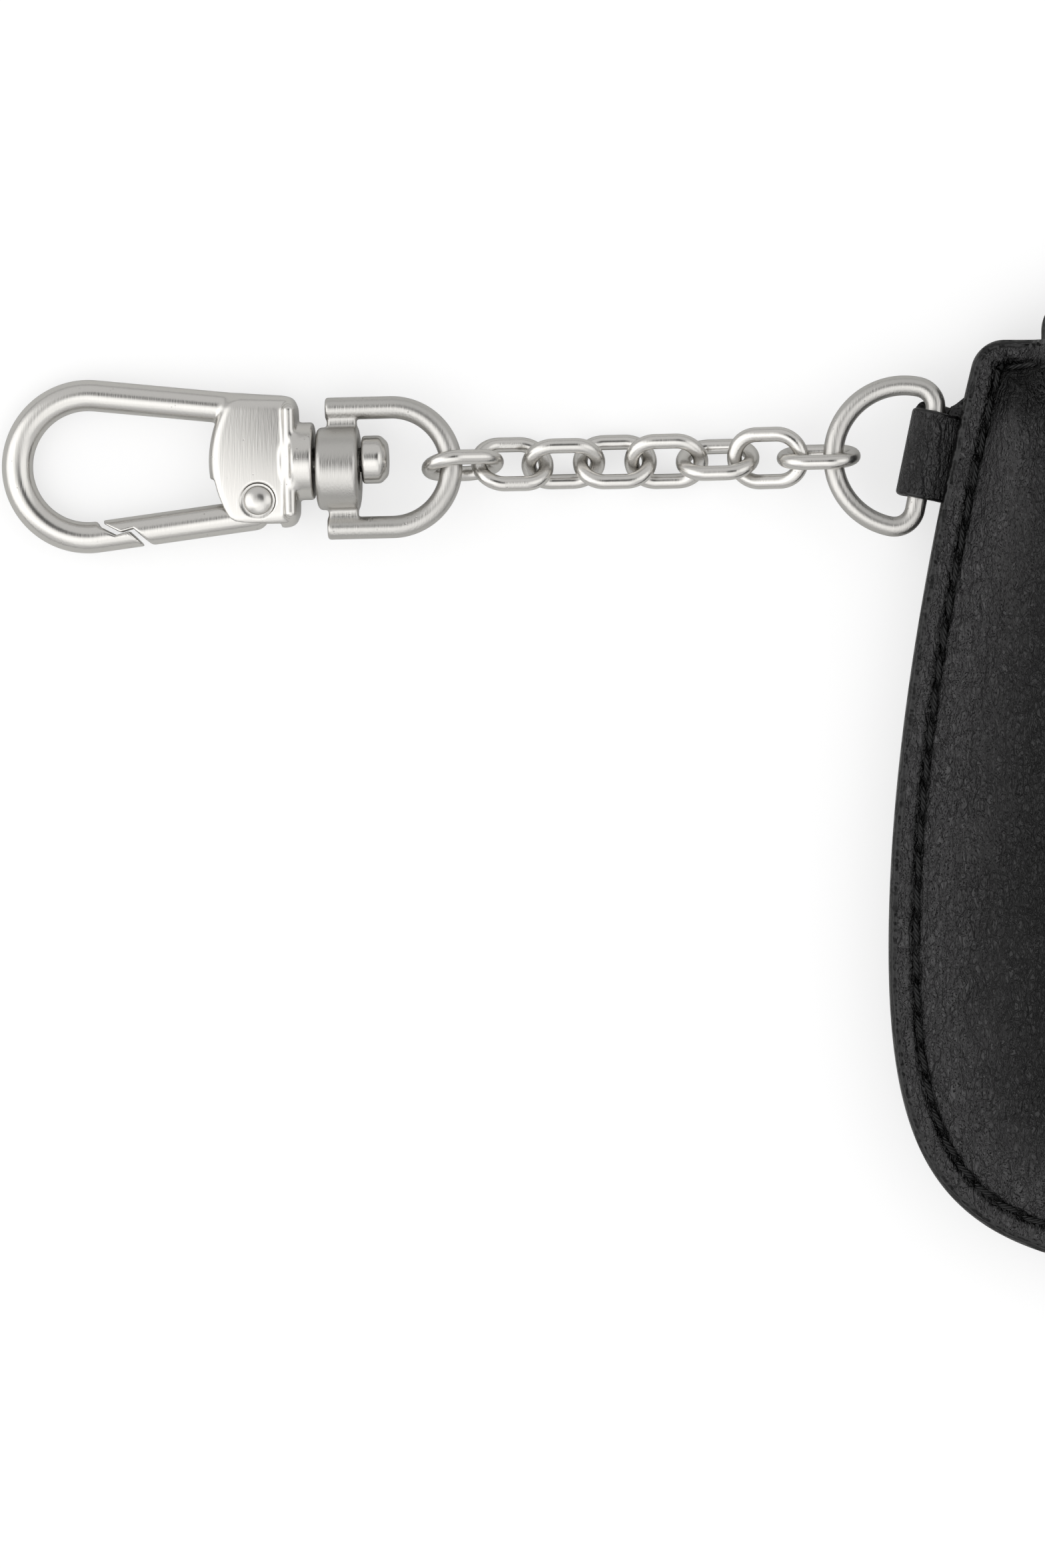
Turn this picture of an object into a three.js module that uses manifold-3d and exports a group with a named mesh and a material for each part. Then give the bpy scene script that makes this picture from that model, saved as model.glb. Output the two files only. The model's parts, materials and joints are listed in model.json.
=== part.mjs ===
// Chain wallet: a zip-top leather pouch with a side tab, a D-ring, eight cable-chain links
// and a swivel snap hook. Millimetres, +X to the wallet's right, +Y to its zip edge,
// +Z towards its front. The origin is the centre of the flat back, which lies on z = 0.
import * as THREE from 'three';
import { ParametricGeometry } from 'three/addons/geometries/ParametricGeometry.js';
import { mergeVertices } from 'three/addons/utils/BufferGeometryUtils.js';
import Module from 'manifold-3d';

// Pouch outline
const WALLET_WIDTH = 116;
const WALLET_HEIGHT = 94;
const TOP_CORNER_INSET = 11.5; // from the widest side to the centre of a top corner's arc
const TOP_CORNER_RADIUS = 3.3;
const SIDE_LEAN = THREE.MathUtils.degToRad(10.4);
const WIDEST_BELOW_MIDDLE = 13.7;
const SIDE_BULGE = 24; // handle length of the side's curve at the widest point
const BASE_HANDLE_RISE = 0.6; // of the base corners' handles over the base
const BASE_HANDLE_INSET = 12.7; // of their other ends from the widest side

// Pouch layers, from the table up
const LEATHER = 1.3;
const SEAM_GAP = 1.5; // between the two leathers, where the tab's tail is sewn in
const SEAM_HEIGHT = 5.6; // of the seam's middle over the table
const SEAM_INSET = 3.2; // from the painted edge to the stitches
const CROWN_RISE = 6.1; // of the front panel over its seam
const PUFF_REACH = 26; // from the seam to the crown on the front
const BACK_REACH = 14; // from the seam to the flat on the back
const SEAM_FLAT = SEAM_INSET + 0.8; // the leathers lie flat together this far in
const MOUTH_REACH = 3; // from the seam to full height, at the ends of the mouth
const MOUTH_LIFT = 1.1; // of the back leather off the table along the mouth
const MOUTH_LIFT_LENGTH = 14;
const MOUTH_BLEND_LOW = 2; // the panels blend to the mouth's height above this y
const PUFF_POWER = 2.4;
const LINING = 0.4;
const LINING_CLEARANCE = 0.5;
const LINING_INSET = SEAM_INSET + 1.6;
const CLEARANCE = 0.3;

// Inner slip pocket
const POCKET_WIDTH = 90;
const POCKET_BELOW_LINING = 15.2; // from the lining's top edge to the pocket's
const POCKET_LEATHER = 0.8;
const POCKET_ABOVE_BASE = 14;

// Thread
const THREAD_RADIUS = 0.3;
const THREAD_CLEARANCE = 0.25;
const THREAD_STEPS = 80;

// Zip
const ZIP_END_INSET = 6.5; // from the centre of a top corner's arc
const ZIP_BELOW_TOP = 6.2; // from the pouch's top edge to the middle of the teeth
const TOOTH_THICKNESS = 1.2;
const TOOTH_PITCH = 2.8;
const TOOTH_WIDTH = 1.3;
const TOOTH_REACH = 1;
const TOOTH_SLIT = 1.5; // between the two rows
const CORD_WIDTH = 0.8;
const TAPE = 0.5;
const TAPE_DROP = 7;
const SLIDER_LENGTH = 8.6;
const SLIDER_WIDTH = 5.6;
const SLIDER_PLATE = 0.7;
const SLIDER_POST = 0.8;
const SLIDER_FROM_END = 2.7; // from the left end of the teeth to the slider's middle
const BRIDGE_BAR = 0.9;
const BRIDGE_LENGTH = 6;
const BRIDGE_ROOM = 1.5; // under the bridge
const PULL_RING_RADIUS = 2.05;
const PULL_RING_WIRE = 0.45;
const PULL_WIDTH = 11;
const PULL_LENGTH = 6;
const PULL_CORNER = 3.6;
const PULL_LEATHER = 1.8;
const PULL_HOLE_RADIUS = 1.3;
const STOP_LENGTH = 2.2;

// Side tab and D-ring
const TAB_LEAN = THREE.MathUtils.degToRad(11.6);
const TAB_WIDTH = 8.8;
const TAB_RISE = 0.6; // of the tab's middle over the D-ring's, along the bar
const TAB_LEATHER = 1;
const RING_BELOW_TOP = 12.05; // middle of the D-ring's bar
const TAB_NECK = 0.2; // between the fold and the pouch's edge
const RING_WIRE = 1;
const RING_CORNER = 2.1;
const RING_TILT = THREE.MathUtils.degToRad(3);

// Chain
const LINK_LENGTH = 8.4; // outside
const LINK_WIDTH = 6.33;
const LINK_WIRE = 0.765;
const CHAIN_GAP = 0.2; // between wires that bear on each other
const CHAIN_HEADING = THREE.MathUtils.degToRad(1.35); // of the chain's run below -X
// Each link from the D-ring to the hook: slope down and roll out of the table's plane, degrees
const LINK_POSES = [
  { slope: 5, roll: -77 },
  { slope: 15, roll: 13.5 },
  { slope: 7, roll: -56 },
  { slope: 3, roll: 35 },
  { slope: -1, roll: -35 },
  { slope: -4, roll: 43 },
  { slope: -12.5, roll: -35.5 },
  { slope: -20.5, roll: 71 },
];

// Swivel: bail and hub, in the hub's own frame with +X to the wallet
const HUB_WALL = 1.98;
const HUB_LENGTH = 4.2;
const BAIL_WIRE = 1.23;
const BAIL_ARM_GAP = 0.61; // between the hub and the bail's arms
const BAIL_TIP = 11.27; // from the hub's middle to the middle of the tip's wire
const BAIL_ARM_END = -1.2;
const BAIL_WEB_LENGTH = 3.1;
const SWIVEL_PLAY = 0.8; // the hub hangs this far below the shank's axis
const BORE_CLEARANCE = 0.15; // left at the side where the hub hangs on the shank
const SWIVEL_TILT = THREE.MathUtils.degToRad(4.2); // the hook's loop droops to the table

// Snap hook, with its shank on the X axis and x = 0 at the hub's middle
const SHANK_RADIUS = 1.2;
const HEAD_LIP = 0.25; // of the head over the hub's bore
const HEAD_LENGTH = 2.6;
const COLLAR_RADIUS = 3.87;
const COLLAR_LENGTH = 3.3;
const HOOK_WIRE = 1.56;
const LOOP_X = -25.1;
const LOOP_RADIUS = 7.1;
const ARM_LEAN = THREE.MathUtils.degToRad(6.65);
const BLOCK_LEFT = -12.9;
const BLOCK_RIGHT = -4;
const BLOCK_HALF_HEIGHT = 6.9;
const BLOCK_WALL = 0.89; // on each side of the gate's slot
const BLOCK_BULGE = 2.1;
const RIM_LENGTH = 2;
const RIM_EXTRA = 0.35;
const PIVOT_X = -7.96;
const PIVOT_Y = -3.82;
const PIVOT_RADIUS = 0.9;
const RIVET_HEAD_RADIUS = 1.45;
const RIVET_RECESS = 0.5;
const GATE_EYE_RADIUS = 1.9;
const GATE_GAP = 0.3;

// Sides and steps of the round pieces
const WIRE_SIDES = 8;
const ROUND_SIDES = 18;

const wasm = await Module();
wasm.setup();

const group = new THREE.Group();

/** Materials, one fresh copy for each mesh. */
const blackLeather = () => new THREE.MeshStandardMaterial({ color: 0x1b1b1d, roughness: 0.45, metalness: 0 });
const blackCloth = () => new THREE.MeshStandardMaterial({ color: 0x232327, roughness: 0.9, metalness: 0 });
const blackThread = () => new THREE.MeshStandardMaterial({ color: 0x151517, roughness: 0.7, metalness: 0 });
const satinNickel = () => new THREE.MeshStandardMaterial({ color: 0xb9b6b1, roughness: 0.35, metalness: 1 });
const springSteel = () => new THREE.MeshStandardMaterial({ color: 0x8c8e92, roughness: 0.3, metalness: 1 });

/** Adds a named mesh to a parent group. */
function addPiece(name, geometry, material, parent = group) {
  const mesh = new THREE.Mesh(geometry, material);
  mesh.name = name;
  parent.add(mesh);
  return mesh;
}

/** Leaves only positions, merges shared corners and drops triangles that have no area. */
function welded(geometry) {
  const bare = geometry.clone();
  bare.deleteAttribute('normal');
  bare.deleteAttribute('uv');
  const merged = mergeVertices(bare, 1e-5);
  const index = merged.getIndex();
  const kept = [];
  for (let i = 0; i < index.count; i += 3) {
    const [a, b, c] = [index.getX(i), index.getX(i + 1), index.getX(i + 2)];
    if (a !== b && b !== c && c !== a) kept.push(a, b, c);
  }
  merged.setIndex(kept);
  return merged;
}

function toSolid(geometry) {
  const merged = welded(geometry);
  const mesh = new wasm.Mesh({
    numProp: 3,
    vertProperties: new Float32Array(merged.getAttribute('position').array),
    triVerts: new Uint32Array(merged.getIndex().array),
  });
  return new wasm.Manifold(mesh);
}

function toGeometry(solid) {
  const mesh = solid.getMesh();
  const geometry = new THREE.BufferGeometry();
  geometry.setAttribute('position', new THREE.BufferAttribute(new Float32Array(mesh.vertProperties), 3));
  geometry.setIndex(new THREE.BufferAttribute(new Uint32Array(mesh.triVerts), 1));
  return geometry;
}

/** Joins geometries into one solid. */
function joined(...geometries) {
  return geometries.map(toSolid).reduce((sum, solid) => sum.add(solid));
}

/** A closed ring of round wire along a closed curve. */
function wireRing(curve, radius, steps, sides = WIRE_SIDES) {
  return welded(new THREE.TubeGeometry(curve, steps, radius, sides, true));
}

/** A capped rod of round section along an open curve. */
function wireRod(curve, radius, steps, sides = WIRE_SIDES) {
  const section = new THREE.Shape();
  section.absarc(0, 0, radius, 0, 2 * Math.PI);
  return new THREE.ExtrudeGeometry(section, {
    steps,
    extrudePath: curve,
    curveSegments: sides,
    bevelEnabled: false,
  });
}

/** A shape drawn in XY and extruded evenly to both sides of z = 0. */
function slab(shape, depth, curveSegments = 8, bevel = 0) {
  const geometry = new THREE.ExtrudeGeometry(shape, {
    depth: depth - 2 * bevel,
    curveSegments,
    bevelEnabled: bevel > 0,
    bevelSize: bevel,
    bevelThickness: bevel,
    bevelOffset: -bevel,
    bevelSegments: 1,
  });
  return geometry.translate(0, 0, -depth / 2 + bevel);
}

/** A box given by two opposite corners. */
function blockBetween(low, high) {
  const size = high.clone().sub(low);
  const middle = high.clone().add(low).multiplyScalar(0.5);
  return new THREE.BoxGeometry(size.x, size.y, size.z).translate(middle.x, middle.y, middle.z);
}

/** A solid of revolution about X from [x, radius] pairs. */
function turnedAboutX(profile, sides = ROUND_SIDES) {
  const points = profile.map(([x, radius]) => new THREE.Vector2(radius, x));
  return new THREE.LatheGeometry(points, sides).rotateZ(-Math.PI / 2);
}

// --- Pouch -------------------------------------------------------------------------------

const HALF_WIDTH = WALLET_WIDTH / 2;
const HALF_HEIGHT = WALLET_HEIGHT / 2;
const TOP_CORNER_X = HALF_WIDTH - TOP_CORNER_INSET;
const OUTLINE_DIVISIONS = 14;

/** The pouch's outline as a closed shape, counter-clockwise from the middle of the top edge. */
function pouchShape() {
  const cornerY = HALF_HEIGHT - TOP_CORNER_RADIUS;
  const lean = new THREE.Vector2(-Math.cos(SIDE_LEAN), Math.sin(SIDE_LEAN));
  const sideTop = new THREE.Vector2(-TOP_CORNER_X, cornerY).addScaledVector(lean, TOP_CORNER_RADIUS);
  const bulgeY = -WIDEST_BELOW_MIDDLE + SIDE_BULGE;
  const handleY = -HALF_HEIGHT + BASE_HANDLE_RISE;
  const handleX = HALF_WIDTH - BASE_HANDLE_INSET;
  const shape = new THREE.Shape();
  shape.moveTo(0, HALF_HEIGHT);
  shape.lineTo(-TOP_CORNER_X, HALF_HEIGHT);
  shape.absarc(-TOP_CORNER_X, cornerY, TOP_CORNER_RADIUS, Math.PI / 2, Math.PI - SIDE_LEAN);
  shape.quadraticCurveTo(-HALF_WIDTH, bulgeY, -HALF_WIDTH, -WIDEST_BELOW_MIDDLE);
  shape.bezierCurveTo(-HALF_WIDTH, handleY, -handleX, -HALF_HEIGHT, 0, -HALF_HEIGHT);
  shape.bezierCurveTo(handleX, -HALF_HEIGHT, HALF_WIDTH, handleY, HALF_WIDTH, -WIDEST_BELOW_MIDDLE);
  shape.quadraticCurveTo(HALF_WIDTH, bulgeY, -sideTop.x, sideTop.y);
  shape.absarc(TOP_CORNER_X, cornerY, TOP_CORNER_RADIUS, SIDE_LEAN, Math.PI / 2);
  shape.lineTo(0, HALF_HEIGHT);
  return shape;
}

const FINE_OUTLINE = new THREE.Shape(pouchShape().getPoints(OUTLINE_DIVISIONS)).getSpacedPoints(480);
const SEWN_OUTLINE = FINE_OUTLINE.filter((p) => p.y < HALF_HEIGHT - 0.01 || Math.abs(p.x) > TOP_CORNER_X);

/** The outline moved inwards, without the points that a tight corner would fold over. */
function insetOutline(inset) {
  const points = FINE_OUTLINE.slice(0, -1);
  const moved = [];
  points.forEach((point, i) => {
    const before = points[(i + points.length - 1) % points.length];
    const after = points[(i + 1) % points.length];
    const along = after.clone().sub(before).normalize();
    const inner = point.clone().add(new THREE.Vector2(-along.y, along.x).multiplyScalar(inset));
    const nearest = Math.min(...points.map((other) => other.distanceTo(inner)));
    if (nearest > inset - 0.05) moved.push(inner);
  });
  return moved;
}

/** The same outline with evenly spaced points. */
function evenly(points, count) {
  const closed = new THREE.Shape(points.concat([points[0].clone()]));
  return closed.getSpacedPoints(count).slice(0, count);
}

/** Distance from a point to the sewn sides and base, not to the zip mouth. */
function fromSeam(x, y) {
  let best = Infinity;
  for (const point of SEWN_OUTLINE) best = Math.min(best, (point.x - x) ** 2 + (point.y - y) ** 2);
  return Math.sqrt(best);
}

/** 0 at the seam, rising smoothly to 1 at the given reach. */
function puff(x, y, reach) {
  const near = THREE.MathUtils.smoothstep(y, MOUTH_BLEND_LOW, HALF_HEIGHT - ZIP_BELOW_TOP);
  const width = THREE.MathUtils.lerp(reach, MOUTH_REACH, near);
  const share = THREE.MathUtils.clamp((fromSeam(x, y) - SEAM_FLAT) / width, 0, 1);
  return 1 - (1 - share) ** PUFF_POWER;
}

const MOUTH_ROOM = SLIDER_WIDTH + 2 * (TAPE + 2 * CLEARANCE);
const MOUTH_RISE = LEATHER + MOUTH_LIFT + MOUTH_ROOM - (SEAM_HEIGHT + SEAM_GAP / 2);
const ZIP_HEIGHT = LEATHER + MOUTH_LIFT + MOUTH_ROOM / 2;
const ZIP_Y = HALF_HEIGHT - ZIP_BELOW_TOP;

/** Height of the front leather's inner face. */
function frontInner(x, y) {
  const near = THREE.MathUtils.smoothstep(y, MOUTH_BLEND_LOW, ZIP_Y);
  const rise = THREE.MathUtils.lerp(CROWN_RISE, MOUTH_RISE, near);
  return SEAM_HEIGHT + SEAM_GAP / 2 + rise * puff(x, y, PUFF_REACH);
}

/** Height of the back leather's inner face. */
function backInner(x, y) {
  const seam = SEAM_HEIGHT - SEAM_GAP / 2;
  const lift = MOUTH_LIFT * THREE.MathUtils.smoothstep(y, ZIP_Y - TAPE_DROP - MOUTH_LIFT_LENGTH, ZIP_Y - TAPE_DROP);
  return seam - (seam - LEATHER - lift) * puff(x, y, BACK_REACH);
}

/** A curved sheet between two height functions; its rings lie at the given insets, then shrink. */
function sheet({ low, high, insets, around, shrinks }) {
  const rings = insets.map((inset) => evenly(inset > 0 ? insetOutline(inset) : FINE_OUTLINE.slice(0, -1), around));
  const innermost = rings[rings.length - 1];
  for (const share of shrinks) rings.push(innermost.map((p) => p.clone().multiplyScalar(share)));
  const last = rings.length - 1;
  const stacks = 2 * last + 1;
  const place = (u, v, target) => {
    const step = Math.round(v * stacks);
    const upper = step > last;
    const { x, y } = rings[upper ? step - last - 1 : last - step][Math.round(u * around) % around];
    target.set(x, y, upper ? high(x, y) : low(x, y));
  };
  return welded(new ParametricGeometry(place, around, stacks));
}

function buildPanels() {
  const rings = { around: 60, insets: [0, SEAM_FLAT, SEAM_FLAT + 2, SEAM_FLAT + 5, SEAM_FLAT + 10, SEAM_FLAT + 16] };
  addPiece('back_panel', sheet({
    low: (x, y) => backInner(x, y) - LEATHER, high: backInner, ...rings, shrinks: [0.5, 0],
  }), blackLeather());
  addPiece('front_panel', sheet({
    low: frontInner, high: (x, y) => frontInner(x, y) + LEATHER, ...rings, shrinks: [0.5, 0],
  }), blackLeather());
}

const LINING_TOP = ZIP_Y - TOOTH_THICKNESS / 2 - TAPE_DROP - 1;
const LINING_RINGS = {
  around: 44,
  insets: [LINING_INSET, LINING_INSET + 3, LINING_INSET + 9, LINING_INSET + 16],
  shrinks: [0.5, 0],
};

/** Keeps the part of a sheet between two sides and between two levels of y. */
function trimmed(geometry, halfWidth, lowY, highY) {
  const depth = WALLET_WIDTH;
  const keep = blockBetween(
    new THREE.Vector3(-halfWidth, lowY, -depth), new THREE.Vector3(halfWidth, highY, depth),
  );
  return toGeometry(toSolid(geometry).intersect(toSolid(keep)));
}

/** The two cloth linings, which end under the zip's tapes. */
function buildLinings() {
  const back = sheet({
    low: (x, y) => backInner(x, y) + LINING_CLEARANCE,
    high: (x, y) => backInner(x, y) + LINING_CLEARANCE + LINING,
    ...LINING_RINGS,
  });
  const front = sheet({
    low: (x, y) => frontInner(x, y) - LINING_CLEARANCE - LINING,
    high: (x, y) => frontInner(x, y) - LINING_CLEARANCE,
    ...LINING_RINGS,
  });
  addPiece('back_lining', trimmed(back, WALLET_WIDTH, -WALLET_HEIGHT, LINING_TOP), blackCloth());
  addPiece('front_lining', trimmed(front, WALLET_WIDTH, -WALLET_HEIGHT, LINING_TOP), blackCloth());
}

/** The slip pocket for cards, a patch on the back lining that is open at its top. */
function buildPocket() {
  const lift = LINING_CLEARANCE + LINING + CLEARANCE;
  const patch = sheet({
    low: (x, y) => backInner(x, y) + lift,
    high: (x, y) => backInner(x, y) + lift + POCKET_LEATHER,
    ...LINING_RINGS,
  });
  const [base, top] = [-HALF_HEIGHT + POCKET_ABOVE_BASE, LINING_TOP - POCKET_BELOW_LINING];
  const pocket = trimmed(patch, POCKET_WIDTH / 2, base, top);
  addPiece('card_pocket', pocket, blackLeather());
}

/** A ring of thread along the stitch line; it clears the leather, which farther picks out. */
function threadRing(height, farther, lift) {
  const line = evenly(insetOutline(SEAM_INSET), THREAD_STEPS);
  const levels = line.map((p) => height(p.x, p.y));
  const points = line.map((p, i) => {
    const before = levels[(i + THREAD_STEPS - 1) % THREAD_STEPS];
    const after = levels[(i + 1) % THREAD_STEPS];
    return new THREE.Vector3(p.x, p.y, farther(before, levels[i], after) + lift);
  });
  const curve = new THREE.CatmullRomCurve3(points, true, 'centripetal');
  return wireRing(curve, THREAD_RADIUS, THREAD_STEPS, 4);
}

function buildThreads() {
  const lift = THREAD_RADIUS + THREAD_CLEARANCE;
  const front = threadRing((x, y) => frontInner(x, y) + LEATHER, Math.max, lift);
  const back = threadRing((x, y) => backInner(x, y) - LEATHER, Math.min, -lift);
  addPiece('front_thread', front, blackThread());
  addPiece('back_thread', back, blackThread());
}

// --- Zip ---------------------------------------------------------------------------------

const ZIP_LENGTH = 2 * (TOP_CORNER_X - ZIP_END_INSET);
const SLIDER_X = -ZIP_LENGTH / 2 + SLIDER_FROM_END;

/** One row of teeth on its cord: a comb in the XZ plane; side is 1 for the front row. */
function toothRow(side) {
  const half = ZIP_LENGTH / 2;
  const tip = TOOTH_SLIT / 2;
  const root = tip + TOOTH_REACH;
  const shape = new THREE.Shape();
  shape.moveTo(-half, root + CORD_WIDTH);
  shape.lineTo(-half, root);
  const shift = side > 0 ? 0 : TOOTH_PITCH / 2;
  for (let x = -half + CLEARANCE + shift; x + TOOTH_WIDTH < half; x += TOOTH_PITCH) {
    shape.lineTo(x, root);
    shape.lineTo(x, tip);
    shape.lineTo(x + TOOTH_WIDTH, tip);
    shape.lineTo(x + TOOTH_WIDTH, root);
  }
  shape.lineTo(half, root);
  shape.lineTo(half, root + CORD_WIDTH);
  const comb = slab(shape, TOOTH_THICKNESS).rotateX(side > 0 ? Math.PI / 2 : -Math.PI / 2);
  return comb.translate(0, ZIP_Y, ZIP_HEIGHT);
}

/** One tape: it hangs down inside the leather and turns in to meet the cord. */
function tape(side) {
  const outer = MOUTH_ROOM / 2 - CLEARANCE;
  const cordEdge = TOOTH_SLIT / 2 + TOOTH_REACH + CORD_WIDTH + 0.15;
  const shape = new THREE.Shape();
  shape.moveTo(cordEdge, TAPE / 2);
  shape.lineTo(cordEdge, -TAPE / 2);
  shape.lineTo(outer - TAPE, -TAPE / 2);
  shape.lineTo(outer - TAPE, -TAPE_DROP);
  shape.lineTo(outer, -TAPE_DROP);
  shape.lineTo(outer, TAPE / 2);
  const strip = slab(shape, ZIP_LENGTH);
  strip.rotateY(-Math.PI / 2);
  if (side < 0) strip.rotateY(Math.PI);
  return strip.translate(0, ZIP_Y, ZIP_HEIGHT);
}

function buildZipTrack() {
  addPiece('zip_teeth_front', toothRow(1), satinNickel());
  addPiece('zip_teeth_back', toothRow(-1), satinNickel());
  addPiece('zip_tape_front', tape(1), blackCloth());
  addPiece('zip_tape_back', tape(-1), blackCloth());
  for (const [name, sign] of [['zip_stop_left', -1], ['zip_stop_right', 1]]) {
    const x = sign * (ZIP_LENGTH / 2 + CLEARANCE + STOP_LENGTH / 2);
    const half = TOOTH_SLIT / 2 + TOOTH_REACH;
    addPiece(name, blockBetween(
      new THREE.Vector3(x - STOP_LENGTH / 2, ZIP_Y - TOOTH_THICKNESS / 2, ZIP_HEIGHT - half),
      new THREE.Vector3(x + STOP_LENGTH / 2, ZIP_Y + TOOTH_THICKNESS / 2, ZIP_HEIGHT + half),
    ), satinNickel());
  }
}

const PLATE_LOW = TOOTH_THICKNESS / 2 + CLEARANCE;
const BRIDGE_Y = PLATE_LOW + SLIDER_PLATE + BRIDGE_ROOM + BRIDGE_BAR / 2;

/** The slider: two plates, the post between the rows and the bridge that holds the ring. */
function buildSlider() {
  const outline = new THREE.Shape();
  const nose = SLIDER_WIDTH / 2 - 1;
  outline.moveTo(-SLIDER_LENGTH / 2, -nose);
  outline.lineTo(-SLIDER_LENGTH / 2 + 2, -SLIDER_WIDTH / 2);
  outline.lineTo(SLIDER_LENGTH / 2, -SLIDER_WIDTH / 2);
  outline.lineTo(SLIDER_LENGTH / 2, SLIDER_WIDTH / 2);
  outline.lineTo(-SLIDER_LENGTH / 2 + 2, SLIDER_WIDTH / 2);
  outline.lineTo(-SLIDER_LENGTH / 2, nose);
  const plate = (y) => slab(outline, SLIDER_PLATE).rotateX(Math.PI / 2).translate(0, y, 0);
  const post = new THREE.BoxGeometry(2.4, 2 * PLATE_LOW + 0.2, SLIDER_POST);
  const foot = BRIDGE_BAR + BRIDGE_ROOM + 0.2;
  const legX = BRIDGE_LENGTH / 2 - BRIDGE_BAR / 2;
  const leg = (sign) => new THREE.BoxGeometry(BRIDGE_BAR, foot, 1.8)
    .translate(sign * legX, PLATE_LOW + SLIDER_PLATE - 0.2 + foot / 2, 0);
  const bar = new THREE.BoxGeometry(BRIDGE_LENGTH, BRIDGE_BAR, BRIDGE_BAR).translate(0, BRIDGE_Y, 0);
  const slider = joined(
    plate(PLATE_LOW + SLIDER_PLATE / 2), plate(-PLATE_LOW - SLIDER_PLATE / 2), post, leg(1), leg(-1), bar,
  );
  addPiece('zip_slider', toGeometry(slider), satinNickel()).position.set(SLIDER_X, ZIP_Y, ZIP_HEIGHT);
}

/** The pull: a wire ring round the bridge bar and a leather tongue that hangs on the ring. */
function buildPull() {
  const pull = new THREE.Group();
  pull.position.set(SLIDER_X, ZIP_Y + BRIDGE_Y, ZIP_HEIGHT);
  group.add(pull);
  const ringY = PULL_RING_RADIUS - BRIDGE_BAR / 2 * Math.SQRT2 - PULL_RING_WIRE - 0.15;
  const ring = new THREE.TorusGeometry(PULL_RING_RADIUS, PULL_RING_WIRE, WIRE_SIDES, 20);
  addPiece('pull_ring', welded(ring.rotateY(Math.PI / 2).translate(0, ringY, 0)), satinNickel(), pull);
  const holeY = ringY + PULL_RING_RADIUS + PULL_HOLE_RADIUS - PULL_RING_WIRE - 0.5;
  const base = holeY - PULL_HOLE_RADIUS - 0.75;
  const top = base + PULL_LENGTH;
  const half = PULL_WIDTH / 2;
  const shape = new THREE.Shape();
  shape.moveTo(-half + 1, base);
  shape.lineTo(half - 1, base);
  shape.lineTo(half, base + 1);
  shape.absarc(half - PULL_CORNER, top - PULL_CORNER, PULL_CORNER, 0, Math.PI / 2);
  shape.absarc(-half + PULL_CORNER, top - PULL_CORNER, PULL_CORNER, Math.PI / 2, Math.PI);
  shape.lineTo(-half, base + 1);
  const hole = new THREE.Path();
  hole.absarc(0, holeY, PULL_HOLE_RADIUS, 0, 2 * Math.PI, true);
  shape.holes.push(hole);
  addPiece('leather_pull', slab(shape, PULL_LEATHER, 8), blackLeather(), pull);
}

// --- Side tab, D-ring and chain ------------------------------------------------------------

const RING_HALF_HEIGHT = TAB_WIDTH / 2 + TAB_RISE + RING_CORNER; // to the middle of the wire
const RING_DEPTH = RING_HALF_HEIGHT + RING_CORNER; // from the bar to the tip, wire middles
const RING_BAR_Y = HALF_HEIGHT - RING_BELOW_TOP;
const TAB_BORE = RING_WIRE + 0.25;
const TAB_OUTER = TAB_BORE + TAB_LEATHER;
const TAB_TAIL_HALF = SEAM_GAP / 2 - CLEARANCE;

/** X of the pouch's left edge at a height y. */
function leftEdge(y) {
  const level = (p) => Math.abs(p.y - y) + (p.x < 0 ? 0 : WALLET_WIDTH);
  return FINE_OUTLINE.reduce((best, p) => (level(p) < level(best) ? p : best)).x;
}

const RING_BAR_X = leftEdge(RING_BAR_Y) - TAB_OUTER - TAB_NECK;

/** The frame of the tab and the ring: x away from the wallet, y up along the bar, z to the front. */
function tabGroup() {
  const tab = new THREE.Group();
  tab.position.set(RING_BAR_X, RING_BAR_Y, SEAM_HEIGHT);
  tab.rotation.set(0, 0, -TAB_LEAN);
  group.add(tab);
  return tab;
}

/** The strap folded round the D-ring's bar, with its tail sewn between the panels. */
function buildSideTab(tab) {
  const tail = SEAM_INSET + 2.6;
  const lip = 1.6;
  const shape = new THREE.Shape();
  const start = Math.asin(0.5);
  shape.absarc(0, 0, TAB_OUTER, start, 2 * Math.PI - start, false);
  shape.quadraticCurveTo(TAB_OUTER + 0.2, -TAB_TAIL_HALF, lip + TAB_OUTER - 1.4, -TAB_TAIL_HALF);
  shape.lineTo(tail, -TAB_TAIL_HALF);
  shape.lineTo(tail, TAB_TAIL_HALF);
  shape.lineTo(lip + TAB_OUTER - 1.4, TAB_TAIL_HALF);
  shape.quadraticCurveTo(TAB_OUTER + 0.2, TAB_TAIL_HALF, TAB_OUTER * Math.cos(start), TAB_OUTER * Math.sin(start));
  const bore = new THREE.Path();
  bore.absarc(0, 0, TAB_BORE, 0, 2 * Math.PI, true);
  shape.holes.push(bore);
  const strap = slab(shape, TAB_WIDTH, 8).rotateX(-Math.PI / 2).translate(0, TAB_RISE, 0);
  addPiece('side_tab', strap, blackLeather(), tab);
}

/** A closed curve through lines and arcs in the XY plane. */
class PlanarLoop extends THREE.Curve {
  constructor(shape) {
    super();
    this.shape = shape;
  }

  getPoint(t, target = new THREE.Vector3()) {
    const p = this.shape.getPointAt(t % 1);
    return target.set(p.x, p.y, 0);
  }
}

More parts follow.
